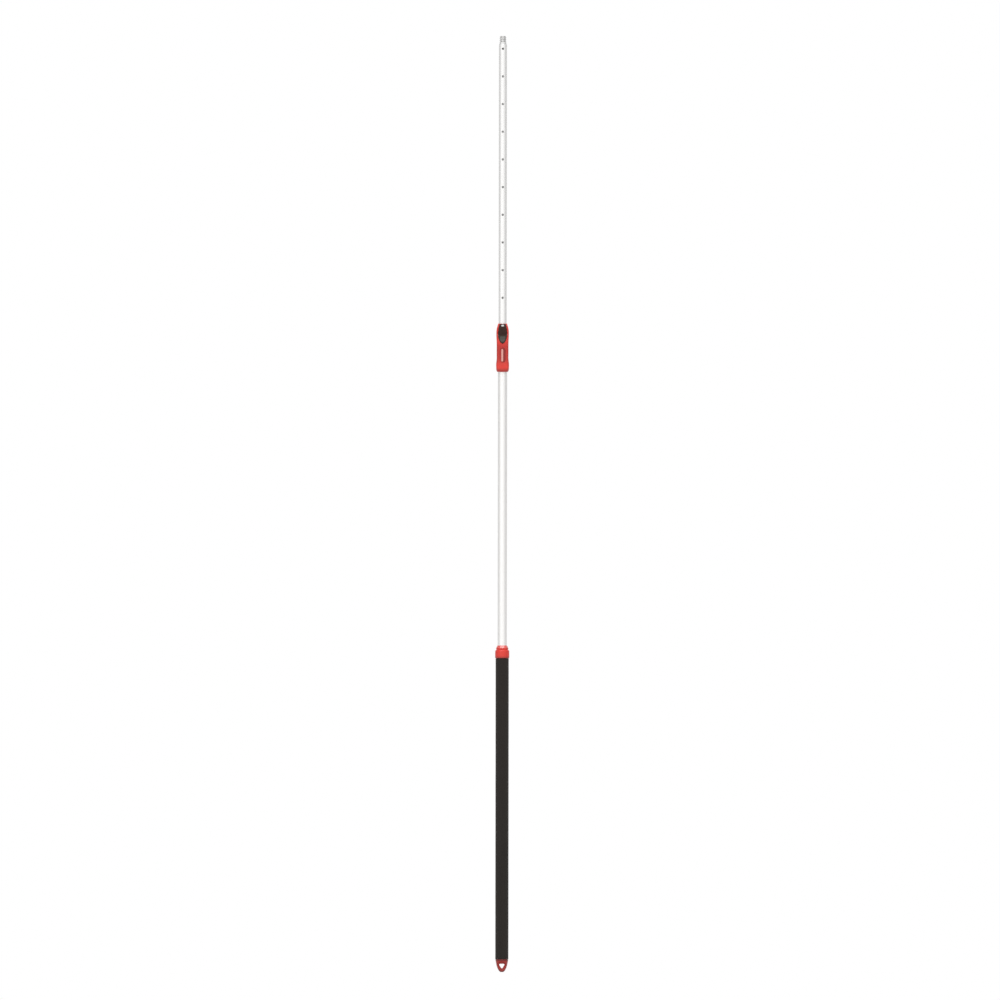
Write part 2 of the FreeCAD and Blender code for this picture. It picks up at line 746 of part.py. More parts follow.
def leaf_points(grow):
    """The lower end's points moved outwards by grow, without the first one."""
    mirrored = (-LEVER_LEAF[-2][0], LEVER_LEAF[-2][1])
    track = LEVER_LEAF + [mirrored]
    points = []
    for before, (x, z), after in zip(track, track[1:], track[2:]):
        dx, dz = after[0] - before[0], after[1] - before[1]
        size = math.hypot(dx, dz)
        points.append((x - dz / size * grow, z + dx / size * grow))
    return points


lever_lean = (dims.lever_half - dims.lever_top_half) / (dims.lever_top - dims.lever_bend)


def lever_outline(sketch, grow, top):
    """The lever's outline from the front, grown outwards: a leaf-shaped lower end,
    straight sides, and sides that lean in to a narrower top."""
    grow = as_dim(grow)
    side = dims.lever_half + grow
    top_side = side - lever_lean * (top - dims.lever_bend)
    right = leaf_points(grow.value)
    left = [(-x, z) for x, z in right[:-1]]
    outline(sketch, [
        (side, dims.lever_shoulder),
        (side, dims.lever_bend),
        (top_side, top),
        (-top_side, top),
        (-side, dims.lever_bend),
        (-side, dims.lever_shoulder),
        ("curve", left + right[::-1]),
    ])


def build_lock_housing():
    body = new_body("lock_housing")
    rings = []
    for k, (rise, *sizes) in enumerate(HOUSING_SECTIONS):
        sketch = new_sketch(body, "section_%02d" % k, "XY_Plane", dims.body_bottom + rise)
        rounded_section(sketch, *sizes)
        rings.append(sketch)
    loft = body.newObject("PartDesign::AdditiveLoft", "housing_form")
    loft.Profile = rings[0]
    loft.Sections = rings[1:]
    loft.Ruled = False
    loft.Closed = False
    settle(body, loft, grows=True)

    sketch = new_sketch(body, "lever_pocket_profile", "XZ_Plane", FRONT)
    lever_outline(sketch, dims.lever_gap, dims.lever_top + 12)
    pocket(body, sketch, FRONT - dims.pocket_floor, "lever_pocket")
    sketch = new_sketch(body, "bore_profile", "XY_Plane", dims.body_bottom - 5)
    circle(sketch, 0, 0, dims.body_bore / 2)
    pocket(body, sketch, dims.body_shoulder - dims.body_bottom + 5, "tube_bore",
           along_normal=True)
    sketch = new_sketch(body, "throat_profile", "XY_Plane", dims.body_shoulder - 1)
    circle(sketch, 0, 0, dims.body_throat / 2)
    pocket(body, sketch, 20, "throat", along_normal=True)
    sketch = new_sketch(body, "notch_profile", "XZ_Plane", FRONT)
    rect(sketch, -2.8, dims.body_shoulder + 0.2, 2.8, dims.body_top + 5)
    pocket(body, sketch, FRONT - 6.0, "pin_notch")
    side_hole(body, "pivot_profile", "pivot_holes",
              -dims.pivot_y, dims.pivot_z, pivot_radius + 0.02)
    front_hole(body, "spring_seat_profile", "spring_seat",
               dims.spring_z, spring_outer_radius + 0.3, dims.pocket_floor - 0.6)
    sketch = new_sketch(body, "inlay_recess_profile", "XZ_Plane", FRONT)
    stadium(sketch, 0, dims.inlay_low - 3.5, dims.inlay_high + 3.5, 8.2)
    pocket(body, sketch, FRONT - 18.2, "inlay_recess")
    screw_holes(body, "housing_screw_profile", "housing_screw_holes", HOUSING_SCREWS, 30)
    screw_seats(body, "housing_seat_profile", "housing_screw_seats", HOUSING_SCREWS,
                dims.housing_screw_seat)


def build_housing_screws():
    screws = [screw("housing_fixing_%d" % number, z, dims.housing_screw_seat)
              for number, z in enumerate(HOUSING_SCREWS, start=1)]
    add_group("housing_screws_group", "housing_screws", screws)


def build_inlay_plate():
    body = new_body("inlay_plate")
    sketch = new_sketch(body, "inlay_profile", "XZ_Plane", 18.25)
    stadium(sketch, -0.9, dims.inlay_low, dims.inlay_high, dims.inlay_half)
    pad(body, sketch, 0.65, "inlay_thickness")


def build_guide_bush():
    body = new_body("guide_bush")
    turn_profile(body, "bush_profile", "bush_turned", [
        (bush_bore_radius, dims.bush_bottom + 0.6),
        (bush_bore_radius + 0.5, dims.bush_bottom),
        (tube_radius, dims.bush_bottom),
        (tube_radius, dims.bush_top),
        (bush_bore_radius, dims.bush_top),
    ])
    # the key stands in the inner tube's flute
    key_rise = 0.8
    key_half = dims.bush_key / 2
    sketch = new_sketch(body, "key_profile", "XY_Plane", dims.bush_bottom + key_rise)
    rect(sketch, -key_half, inner_radius - dims.flute_depth + 0.2,
         key_half, inner_radius + 0.6)
    pad(body, sketch, dims.bush_top - dims.bush_bottom - key_rise, "key")


def build_wiper_ring():
    gap = 0.1  # to the bush below and the shoulder above
    turn_profile(new_body("wiper_ring"), "wiper_profile", "wiper_turned", [
        (bush_bore_radius, dims.bush_top + gap),
        (tube_radius, dims.bush_top + gap),
        (tube_radius, dims.body_shoulder - gap),
        (bush_bore_radius + 0.3, dims.body_shoulder - gap),
        (bush_bore_radius, dims.body_shoulder - 0.8),
    ])


# ---------------------------------------------------------------- lever and its parts


def build_pivot_pin():
    body = new_body("pivot_pin")
    half, bevel = dims.pivot_length / 2, 0.3
    turn_profile(body, "pivot_pin_profile", "pivot_pin_turned", [
        (0, -half),
        (pivot_radius - bevel, -half),
        (pivot_radius, bevel - half),
        (pivot_radius, half - bevel),
        (pivot_radius - bevel, half),
        (0, half),
    ])
    body.Placement = Placement(pivot, TO_SIDE)


def build_lever_spring():
    body = new_body("lever_spring")
    wire_radius = dims.spring_wire / 2
    sketch = new_sketch(body, "wire_section", "XZ_Plane")
    circle(sketch, dims.spring_radius, wire_radius, wire_radius)
    helix(body, sketch, dims.spring_pitch, dims.spring_height, "coil")
    foot = Vector(0, -dims.pocket_floor.value + 0.5, dims.spring_z.value)
    body.Placement = Placement(foot, TO_FRONT)


UNDERSIDE_Y = -18.7  # roof of the hollow under the lower arm

# y, z around the region in front of the lever's outer face, seen from the side; the
# upper arm is crowned, and the thumb dish is below the pivot
LEVER_FACE = [
    (-16.4, 1786.0),
    ("curve", [(-18.6, 1782.5), (-21.4, 1775.5), (-23.4, 1766.5), (-23.9, 1758.0)]),
    (-23.5, 1753.0),
    ("curve", [(-22.55, 1746.5), (-22.35, 1741.0), (-22.9, 1735.5)]),
    (-23.3, 1732.0),
    ("curve", [(-23.1, 1730.4)]),
    (-22.3, 1728.6),
    (-30.0, 1728.6),
    (-30.0, 1786.0),
]
# y, z around the hollow under the lower arm
LEVER_HOLLOW = [
    (UNDERSIDE_Y, 1725.0),
    (UNDERSIDE_Y, 1748.2),
    ("arc", (-17.8, 1750.6)),
    (-15.9, 1751.8),
    (-15.0, 1753.1),
    (-12.0, 1753.1),
    (-12.0, 1725.0),
]


def leaf_edge(blank):
    """The lower end's edge on the blank's back face, moved to y = 0 for measuring."""
    back = dims.lever_back.value
    edge = next(e for e in blank.Edges
                if all(abs(v.Y + back) < 0.01 for v in e.Vertexes) and e.BoundBox.ZMin < 1735.0)
    edge = edge.copy()
    edge.translate(Vector(0, back, 0))
    return edge


def rim_edges(shape, leaf):
    """The lever's rim edges, without the short ones square to the outer face and
    those on the hollow's roof."""

    def on_rim(p):
        """Is a point on the lever's outline, clear of its flat back?"""
        if p.y > -16.2:
            return False
        if p.z > dims.lever_top.value - 0.01:
            return True
        if p.z < dims.lever_shoulder.value - 0.01:
            return leaf.distToShape(Part.Vertex(abs(p.x), 0, p.z))[0] < 0.02
        side = dims.lever_half.value
        if p.z >= dims.lever_bend.value:
            side -= lever_lean.value * (p.z - dims.lever_bend.value)
        return abs(abs(p.x) - side) < 0.05

    names = []
    for name in edges_where(shape, on_rim):
        edge = shape.getElement(name)
        start, end = edge.valueAt(edge.FirstParameter), edge.valueAt(edge.LastParameter)
        front_y, back_y = min(start.y, end.y), max(start.y, end.y)
        along_face = abs(start.y - end.y) < 0.8 * (end - start).Length
        on_roof = abs(front_y - UNDERSIDE_Y) <= 0.01 and abs(back_y - UNDERSIDE_Y) <= 0.01
        if along_face and front_y < -16.3 and back_y != UNDERSIDE_Y and not on_roof:
            names.append(name)
    return names


def pad_outline(sketch, shrink):
    """The thumb pad's outline: square corners rounded above, one arc below."""
    half = dims.pad_half - shrink
    low, high = dims.pad_low + shrink, dims.pad_high - shrink
    corner = 3.0 - shrink
    inset = corner * 0.2929  # of the middle of a corner's arc
    outline(sketch, [
        (half, low + 7.0),
        (half, high - corner),
        ("arc", (half - inset, high - inset)),
        (half - corner, high),
        (corner - half, high),
        ("arc", (inset - half, high - inset)),
        (-half, high - corner),
        (-half, low + 7.0),
        ("arc", (0, low)),
    ])


def cut_lever_face(body, sketch_name, name):
    sketch = new_sketch(body, sketch_name, "YZ_Plane")
    outline(sketch, LEVER_FACE)
    cut_through(body, sketch, name)


def build_lock_lever():
    """Drawn locked, then turned to its released position."""
    body = new_body("lock_lever")
    sketch = new_sketch(body, "lever_profile", "XZ_Plane", dims.lever_back)
    lever_outline(sketch, 0, dims.lever_top)
    blank = pad(body, sketch, dims.lever_deep, "lever_blank")
    leaf = leaf_edge(blank.Shape)
    cut_lever_face(body, "face_profile", "outer_face")
    # the lower arm is hollowed underneath so that it can be pressed in
    sketch = new_sketch(body, "under_profile", "YZ_Plane")
    outline(sketch, LEVER_HOLLOW)
    hollowed = cut_through(body, sketch, "underside")
    fillet(body, hollowed, rim_edges(hollowed.Shape, leaf), 1.0, "rim")

    side_hole(body, "lever_pivot_profile", "lever_pivot_hole",
              -dims.pivot_y, dims.pivot_z, pivot_radius + 0.05)
    front_hole(body, "lock_pin_hole_profile", "lock_pin_hole",
               dims.lock_height, pin_radius + 0.03, 10.0)
    # the recess takes the lock pin's head
    flat_half, recess_half, arc_reach = 2.2, 2.35, 4.55
    sketch = new_sketch(body, "lock_pin_recess_profile", "XZ_Plane", FRONT)
    outline(sketch, [
        (-flat_half, dims.lock_height - recess_half),
        (flat_half, dims.lock_height - recess_half),
        ("arc", (arc_reach, dims.lock_height)),
        (flat_half, dims.lock_height + recess_half),
        (-flat_half, dims.lock_height + recess_half),
        ("arc", (-arc_reach, dims.lock_height)),
    ])
    pocket(body, sketch, FRONT - 18.0, "lock_pin_recess")
    sketch = new_sketch(body, "spring_bore_profile", "XZ_Plane", dims.lever_back)
    circle(sketch, 0, dims.spring_bore_z, spring_outer_radius + 0.4)
    pocket(body, sketch, 6.6, "spring_bore", along_normal=True)
    # bed of the thumb pad in the dish
    sketch = new_sketch(body, "pad_bed_profile", "XZ_Plane", FRONT)
    pad_outline(sketch, 0)
    pocket(body, sketch, FRONT - dims.pad_floor, "pad_bed")
    body.Placement = RELEASED


def build_thumb_pad():
    body = new_body("thumb_pad")
    sketch = new_sketch(body, "pad_profile", "XZ_Plane", dims.pad_floor)
    pad_outline(sketch, 0.12)
    pad(body, sketch, 3.0, "pad_blank")
    cut_lever_face(body, "pad_face_profile", "pad_face")
    body.Placement = RELEASED


def build_lock_pin():
    """Drawn with its head at the origin and its tip up, then placed in the lever."""
    body = new_body("lock_pin")
    length = dims.pin_seat - dims.pin_tip
    turn_profile(body, "pin_profile", "pin_turned", [
        (0, 1.2),
        (pin_radius, 1.2),
        (pin_radius, length - 0.9),
        (pin_radius - 0.7, length),
        (0, length),
    ])
    end_x, half_wide = dims.pin_head_long / 2, dims.pin_head_wide / 2
    flat_half = end_x - half_wide
    sketch = new_sketch(body, "pin_head_profile", "XY_Plane", -0.6)
    outline(sketch, [
        (-flat_half, -half_wide),
        (flat_half, -half_wide),
        ("arc", (end_x, 0)),
        (flat_half, half_wide),
        (-flat_half, half_wide),
        ("arc", (-end_x, 0)),
    ])
    pad(body, sketch, 2.9, "pin_head")
    seat = Vector(0, -dims.pin_seat.value, dims.lock_height.value)
    body.Placement = RELEASED * Placement(seat, TO_BACK)


# ---------------------------------------------------------------- inner tube and its ends


def build_inner_tube():
    body = new_body("inner_tube")
    length = dims.inner_top - dims.inner_bottom
    sketch = new_sketch(body, "inner_section", "XY_Plane", dims.inner_bottom)
    circle(sketch, 0, 0, inner_radius)
    circle(sketch, 0, 0, inner_bore_radius)
    pad(body, sketch, length, "inner_length")
    # a strip inside the wall carries the floor of the flute
    bed_half = flute_half + 1.2
    sketch = new_sketch(body, "flute_bed_profile", "XY_Plane", dims.inner_bottom)
    rect(sketch, -bed_half, inner_bore_radius - 1.0, bed_half, inner_bore_radius + 0.3)
    pad(body, sketch, length, "flute_bed")
    sketch = new_sketch(body, "flute_profile", "XY_Plane", dims.inner_bottom - 1)
    rect(sketch, -flute_half, inner_radius - dims.flute_depth, flute_half, inner_radius + 1)
    pocket(body, sketch, length + 2, "flute", along_normal=True)

    hole = front_hole(body, "index_profile", "index_hole",
                      dims.index_first, dims.index_dia / 2, 5.0)
    pattern = body.newObject("PartDesign::LinearPattern", "index_row")
    pattern.Originals = [hole]
    pattern.Direction = (origin_feature(body, "Z_Axis"), [""])
    pattern.Reversed = True
    pattern.Mode = 0
    bind(pattern, "Length", dims.index_pitch * (dims.index_count - 1))
    pattern.Occurrences = int(dims.index_count.value)
    pattern.setExpression("Occurrences", dims.index_count.text)
    body.Tip = pattern
    settle(body, pattern, grows=False)

    front_hole(body, "bush_rivet_profile", "bush_rivet_hole",
               dims.bush_rivet_z, dims.bush_rivet_radius + HOLE_CLEARANCE, 5.0)
    side_hole(body, "tip_pin_profile", "tip_pin_holes",
              0, dims.tip_pin_z, dims.tip_pin_radius + HOLE_CLEARANCE)


def build_threaded_tip():
    body = new_body("threaded_tip")
    base, top = dims.inner_top, dims.tip_top
    turn_profile(body, "tip_profile", "tip_turned", [
        (0, dims.plug_bottom),
        (dims.plug_radius - 1.0, dims.plug_bottom),
        (dims.plug_radius, dims.plug_bottom + 1.5),
        (dims.plug_radius, base),
        (inner_radius - 0.6, base + 0.05),
        (inner_radius - 0.6, base + 1.0),
        (dims.tip_radius, base + 1.4),
        (dims.tip_radius, base + 6.4),
        (dims.tip_core, base + 8.0),
        (dims.tip_core, top - 1.2),
        (dims.tip_core - 1.0, top),
        (3.2, top),
        (2.4, top - 1.0),
        (2.4, top - 14.0),
        (0, top - 15.5),
    ])
    thread_low, thread_root = base + 7.3, dims.tip_core - 0.3
    sketch = new_sketch(body, "thread_profile", "XZ_Plane")
    outline(sketch, [
        (thread_root, thread_low),
        (dims.tip_crest, thread_low + 0.62),
        (dims.tip_crest, thread_low + 2.32),
        (thread_root, thread_low + 2.94),
    ])
    thread_turns = 2.5
    helix(body, sketch, dims.tip_pitch, dims.tip_pitch * thread_turns, "thread")
    flute_clearance(body, "plug_flute_profile", "plug_flute",
                    dims.plug_bottom - 1, base - dims.plug_bottom + 1)
    front_hole(body, "plug_index_profile", "plug_index_hole",
               dims.index_first, dims.index_dia / 2, 2.0)
    side_hole(body, "plug_pin_profile", "plug_pin_hole",
              0, dims.tip_pin_z, dims.tip_pin_radius + 0.02)


def build_tip_pin():
    end_gap = 0.1  # below the inner tube's surface at each end
    rod = cylinder("tip_pin_rod", dims.tip_pin_radius, dims.inner_od - 2 * end_gap,
                   (end_gap - inner_radius, 0, dims.tip_pin_z), TO_SIDE)
    add_piece(rod, "tip_pin")


def build_inner_bush():
    """The lower guide of the inner tube: a grooved foot below the tube and a plug in it."""
    body = new_body("inner_bush")
    base = dims.inner_bottom
    bore = 6.5
    foot_radius = tube_bore_radius - 0.05
    groove_radius = 9.4
    turn_profile(body, "inner_bush_profile", "inner_bush_turned", [
        (bore, base - 18.0),
        (foot_radius - 1.0, base - 18.0),
        (foot_radius, base - 17.0),
        (foot_radius, base - 11.0),
        (groove_radius, base - 11.0),
        (groove_radius, base - 8.6),
        (foot_radius, base - 8.6),
        (foot_radius, base - 0.05),
        (dims.plug_radius, base - 0.05),
        (dims.plug_radius, base + 24.0),
        (dims.plug_radius - 1.0, base + 25.0),
        (bore, base + 25.0),
    ])
    flute_clearance(body, "bush_flute_profile", "bush_flute", base - 0.05, 30)
    front_hole(body, "bush_blind_profile", "bush_blind_hole",
               dims.bush_rivet_z, dims.bush_rivet_radius + HOLE_CLEARANCE, 5.0)


def build_bush_ring():
    """The ring in the inner bush's groove."""
    body = new_body("bush_ring")
    sketch = new_sketch(body, "ring_section", "XZ_Plane")
    circle(sketch, 10.42, dims.inner_bottom - 9.8, 0.95)
    revolve(body, sketch, "ring_turned")


def build_inner_bush_rivet():
    start = 7.0  # inner end's distance in front of the axis
    rod = cylinder("bush_rivet_rod", dims.bush_rivet_radius, inner_radius - 0.03 - start,
                   (0, -start, dims.bush_rivet_z), TO_FRONT)
    add_piece(rod, "inner_bush_rivet")


# ---------------------------------------------------------------- build, check and export


def check_state():
    bad = []
    for obj in doc.Objects:
        if "Invalid" in obj.State or "Error" in obj.State:
            bad.append("%s (%s): %s" % (obj.Name, obj.Label, obj.State))
    for piece in pieces:
        shape = piece.Shape
        if shape.isNull() or not shape.isValid() or not shape.Solids:
            bad.append("%s has no valid solid" % piece.Label)
    if bad:
        raise RuntimeError("; ".join(bad))


build_outer_tube()
build_end_cap()
build_end_cap_rivets()
build_foam_grip()
build_grip_collar()
build_collar_screw()
build_lock_housing()
build_housing_screws()
build_inlay_plate()
build_guide_bush()
build_wiper_ring()
build_pivot_pin()
build_lever_spring()
build_lock_lever()
build_thumb_pad()
build_lock_pin()
build_inner_tube()
build_threaded_tip()
build_tip_pin()
build_inner_bush()
build_bush_ring()
build_inner_bush_rivet()

doc.recompute()
check_state()
os.makedirs("parts", exist_ok=True)
for piece in pieces:
    piece.Shape.exportStep("parts/" + piece.Label + ".step")
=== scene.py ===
import math

import bmesh
import bpy
import numpy as np
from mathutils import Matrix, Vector, noise


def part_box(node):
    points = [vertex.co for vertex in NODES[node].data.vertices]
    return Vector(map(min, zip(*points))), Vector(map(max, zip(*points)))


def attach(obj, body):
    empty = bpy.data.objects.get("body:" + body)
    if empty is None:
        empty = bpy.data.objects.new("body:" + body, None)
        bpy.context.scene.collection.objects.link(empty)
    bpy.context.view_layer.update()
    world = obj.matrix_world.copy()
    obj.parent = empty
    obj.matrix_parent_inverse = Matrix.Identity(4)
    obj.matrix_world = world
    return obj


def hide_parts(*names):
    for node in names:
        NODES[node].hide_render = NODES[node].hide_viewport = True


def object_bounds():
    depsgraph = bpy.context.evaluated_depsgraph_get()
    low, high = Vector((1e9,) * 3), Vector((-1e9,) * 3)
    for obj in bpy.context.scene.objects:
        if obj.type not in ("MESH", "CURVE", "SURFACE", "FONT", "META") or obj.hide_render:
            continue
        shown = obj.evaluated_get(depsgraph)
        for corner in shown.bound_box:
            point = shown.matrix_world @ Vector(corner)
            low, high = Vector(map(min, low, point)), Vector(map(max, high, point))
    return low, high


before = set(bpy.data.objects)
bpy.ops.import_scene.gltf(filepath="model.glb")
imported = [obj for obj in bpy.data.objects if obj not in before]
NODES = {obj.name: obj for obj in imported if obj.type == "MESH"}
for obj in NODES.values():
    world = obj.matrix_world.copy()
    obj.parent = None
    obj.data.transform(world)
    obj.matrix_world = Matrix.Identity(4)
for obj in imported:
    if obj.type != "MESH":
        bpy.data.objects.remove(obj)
CAD_LOW, CAD_HIGH = [list(corner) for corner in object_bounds()]
MM = 0.001

# Sizes and heights in mm.
TUBE_WALL = 1.2

OUTER_RADIUS = 12.7
OUTER_CHAMFER = 0.25
OUTER_RINGS = 90
OUTER_SEGMENTS = 112

INNER_RADIUS = 11.1
INNER_BORE = INNER_RADIUS - TUBE_WALL
INNER_ARC_STEPS = 92
FLUTE_HALF_WIDTH = 2.5
FLUTE_FLOOR = 10.1          # distance of the flute's outer face from the axis
FLUTE_SHOULDER = 0.035      # angle in radians between the round wall and the flute
FLUTE_ZONE = 3.8            # half width kept out of the round shading

HOLE_PITCH = 76.2
HOLE_COUNT = 21
TOP_HOLE = 2542.0
HOLE_RADIUS = 3.2
HOLE_MARGIN = 4.6           # from a hole's centre to the rings above and below it
LOW_HOLE = 881.0
LOW_HOLE_RADIUS = 1.6
LOW_HOLE_MARGIN = 3.0
CROSS_HOLE = 2522.0
CROSS_HOLE_RADIUS = 2.05
CROSS_HOLE_MARGIN = 4.0
CUT_OUTSIDE = 16.0          # cutters start this far from the axis, clear of the tube
CUT_INSIDE = 5.0            # front cutters stop this far from the axis

FOAM_RADIUS = 18.15
FOAM_BORE = 12.8
FOAM_CROWN = 1.7            # radius of the rounded ends
FOAM_CROWN_STEPS = 8
FOAM_RINGS = 208
FOAM_SEGMENTS = 104


# ------------------------------------------------------------------ node helpers


def colour4(colour):
    return (*colour, 1.0) if isinstance(colour, tuple) else (colour, colour, colour, 1.0)


def shade(colour, gain, lift=0.0):
    """The colour made lighter or darker."""
    return tuple(c * gain + lift for c in colour)


def srgb(red, green, blue):
    """An 8-bit display colour as linear light."""
    linear = []
    for value in (red, green, blue):
        value /= 255.0
        linear.append(value / 12.92 if value <= 0.04045 else ((value + 0.055) / 1.055) ** 2.4)
    return tuple(linear)


class Nodes:
    """The node tree of a material or world, emptied, with short ways to add nodes."""

    def __init__(self, owner, coordinates):
        owner.use_nodes = True
        self.tree = owner.node_tree
        self.tree.nodes.clear()
        self.coord = self.add("ShaderNodeTexCoord").outputs[coordinates]

    def add(self, kind, **properties):
        node = self.tree.nodes.new(kind)
        for key, value in properties.items():
            setattr(node, key, value)
        return node

    def put(self, socket, value):
        """Link a socket or set a value."""
        if isinstance(value, bpy.types.NodeSocket):
            self.tree.links.new(value, socket)
        elif isinstance(value, tuple) and len(value) == 3 and socket.type == "RGBA":
            socket.default_value = colour4(value)
        else:
            socket.default_value = value

    def ramp(self, value, stops, interpolation="LINEAR"):
        node = self.add("ShaderNodeValToRGB")
        node.color_ramp.interpolation = interpolation
        elements = node.color_ramp.elements
        while len(elements) > 1:
            elements.remove(elements[-1])
        elements[0].position = stops[0][0]
        elements[0].color = colour4(stops[0][1])
        for position, colour in stops[1:]:
            elements.new(position).color = colour4(colour)
        self.put(node.inputs[0], value)
        return node.outputs[0]

    def remap(self, value, span, to=(0.0, 1.0), smooth=False):
        kind = "SMOOTHSTEP" if smooth else "LINEAR"
        node = self.add("ShaderNodeMapRange", interpolation_type=kind)
        self.put(node.inputs[0], value)
        for index, limit in enumerate((*span, *to), start=1):
            node.inputs[index].default_value = limit
        return node.outputs[0]

    def mix(self, factor, first, second, blend="MIX"):
        node = self.add("ShaderNodeMix", data_type="RGBA", blend_type=blend)
        self.put(node.inputs[0], factor)
        self.put(node.inputs[6], first)
        self.put(node.inputs[7], second)
        return node.outputs[2]


class Material(Nodes):
    """A principled material, textured by the object's coordinates in metres."""

    def __init__(self, name):
        self.material = bpy.data.materials.new(name)
        super().__init__(self.material, "Object")
        output = self.add("ShaderNodeOutputMaterial")
        self.surface = self.add("ShaderNodeBsdfPrincipled")
        self.put(output.inputs[0], self.surface.outputs[0])

    def set(self, **inputs):
        for key, value in inputs.items():
            self.put(self.surface.inputs[key.replace("_", " ")], value)
        return self.material

    # patterns

    def stretched(self, stretch):
        node = self.add("ShaderNodeMapping")
        node.inputs["Scale"].default_value = stretch
        self.put(node.inputs["Vector"], self.coord)
        return node.outputs[0]

    def noise(self, scale, detail=3.0, rough=0.5, distortion=0.0, vector=None):
        node = self.add("ShaderNodeTexNoise")
        node.inputs["Scale"].default_value = scale
        node.inputs["Detail"].default_value = detail
        node.inputs["Roughness"].default_value = rough
        node.inputs["Distortion"].default_value = distortion
        self.put(node.inputs["Vector"], vector or self.coord)
        return node.outputs["Fac"]

    def streaks(self, stretch, **settings):
        """Noise with its own scale along each axis."""
        return self.noise(scale=1.0, vector=self.stretched(stretch), **settings)

    def cells(self, scale, vector=None):
        node = self.add("ShaderNodeTexVoronoi")
        node.inputs["Scale"].default_value = scale
        self.put(node.inputs["Vector"], vector or self.coord)
        return node.outputs["Distance"]

    def above(self, value, start, end):
        """0 up to start, rising to 1 at end."""
        return self.ramp(value, [(0.0, 0.0), (start, 0.0), (end, 1.0)])

    # places

    def axis(self, letter):
        node = self.add("ShaderNodeSeparateXYZ")
        self.put(node.inputs[0], self.coord)
        return node.outputs["XYZ".index(letter)]

    def from_axis(self):
        """Distance from the Z axis."""
        x, y = self.axis("X"), self.axis("Y")
        return self.math("SQRT", self.math("ADD", self.times(x, x), self.times(y, y)))

    def where(self, soft, x=(None, None), y=(None, None), z=(None, None)):
        """1 inside a box, fading to 0 over soft. None leaves a side open."""
        inside = None
        for letter, edges in zip("XYZ", (x, y, z)):
            for edge, to in zip(edges, ((0.0, 1.0), (1.0, 0.0))):
                if edge is None:
                    continue
                span = (edge - soft / 2, edge + soft / 2)
                side = self.remap(self.axis(letter), span, to, smooth=True)
                inside = side if inside is None else self.times(inside, side)
        return inside

    # arithmetic

    def math(self, operation, first, second=0.0):
        node = self.add("ShaderNodeMath", operation=operation)
        self.put(node.inputs[0], first)
        self.put(node.inputs[1], second)
        return node.outputs[0]

    def times(self, first, second):
        return self.math("MULTIPLY", first, second)

    def plus(self, value, mask, amount):
        return self.math("ADD", value, self.times(mask, amount))

    # colour and relief

    def mottle(self, pattern, span, first, second, most=1.0):
        """From the first colour towards the second as the pattern crosses the span."""
        return self.mix(self.remap(pattern, span, (0.0, most)), first, second)

    def tint(self, base, mask, amount, colour):
        return self.mix(self.times(mask, amount), base, colour)

    def bump(self, height, strength, distance, ease=None):
        """Relief, on sharp edges eased by a small radius where one is given."""
        node = self.add("ShaderNodeBump")
        node.inputs["Strength"].default_value = strength
        node.inputs["Distance"].default_value = distance
        self.put(node.inputs["Height"], height)
        if ease is not None:
            bevel = self.add("ShaderNodeBevel", samples=6)
            bevel.inputs["Radius"].default_value = ease
            self.put(node.inputs["Normal"], bevel.outputs[0])
        return node.outputs[0]


# ------------------------------------------------------------------ materials


def make_aluminium(name, tone, rough):
    """Drawn tube: lengthwise die lines, a cloudy anodised skin and a few handling marks."""
    t = Material(name)
    slide = t.streaks(stretch=(1300, 1300, 1.4), detail=3.0, rough=0.7)
    die = t.streaks(stretch=(2600, 2600, 9), detail=4.0, rough=0.6)
    wide = t.streaks(stretch=(420, 420, 2.2), detail=2.0, rough=0.5)
    cloud = t.noise(scale=9.0)
    scratch = t.streaks(stretch=(900, 900, 60), detail=5.0, rough=0.72, distortion=0.4)
    marks = t.above(scratch, start=0.70, end=0.76)
    base = t.mottle(wide, (0.3, 0.7), shade(tone, 0.965), tone)
    base = t.mottle(cloud, (0.3, 0.7), base, shade(tone, 0.95), most=0.35)
    base = t.tint(base, marks, amount=0.10, colour=(0.55, 0.55, 0.54))
    # long faint rubs from sliding through the guides
    rubs = t.above(slide, start=0.60, end=0.70)
    base = t.tint(base, rubs, amount=0.09, colour=(0.62, 0.61, 0.60))
    roughness = t.remap(die, span=(0.25, 0.75), to=(rough - 0.05, rough + 0.07))
    return t.set(
        Base_Color=base,
        Metallic=0.82,
        Roughness=t.plus(roughness, marks, amount=0.12),
        Normal=t.bump(t.plus(die, wide, amount=0.6), strength=0.16, distance=0.00006),
    )


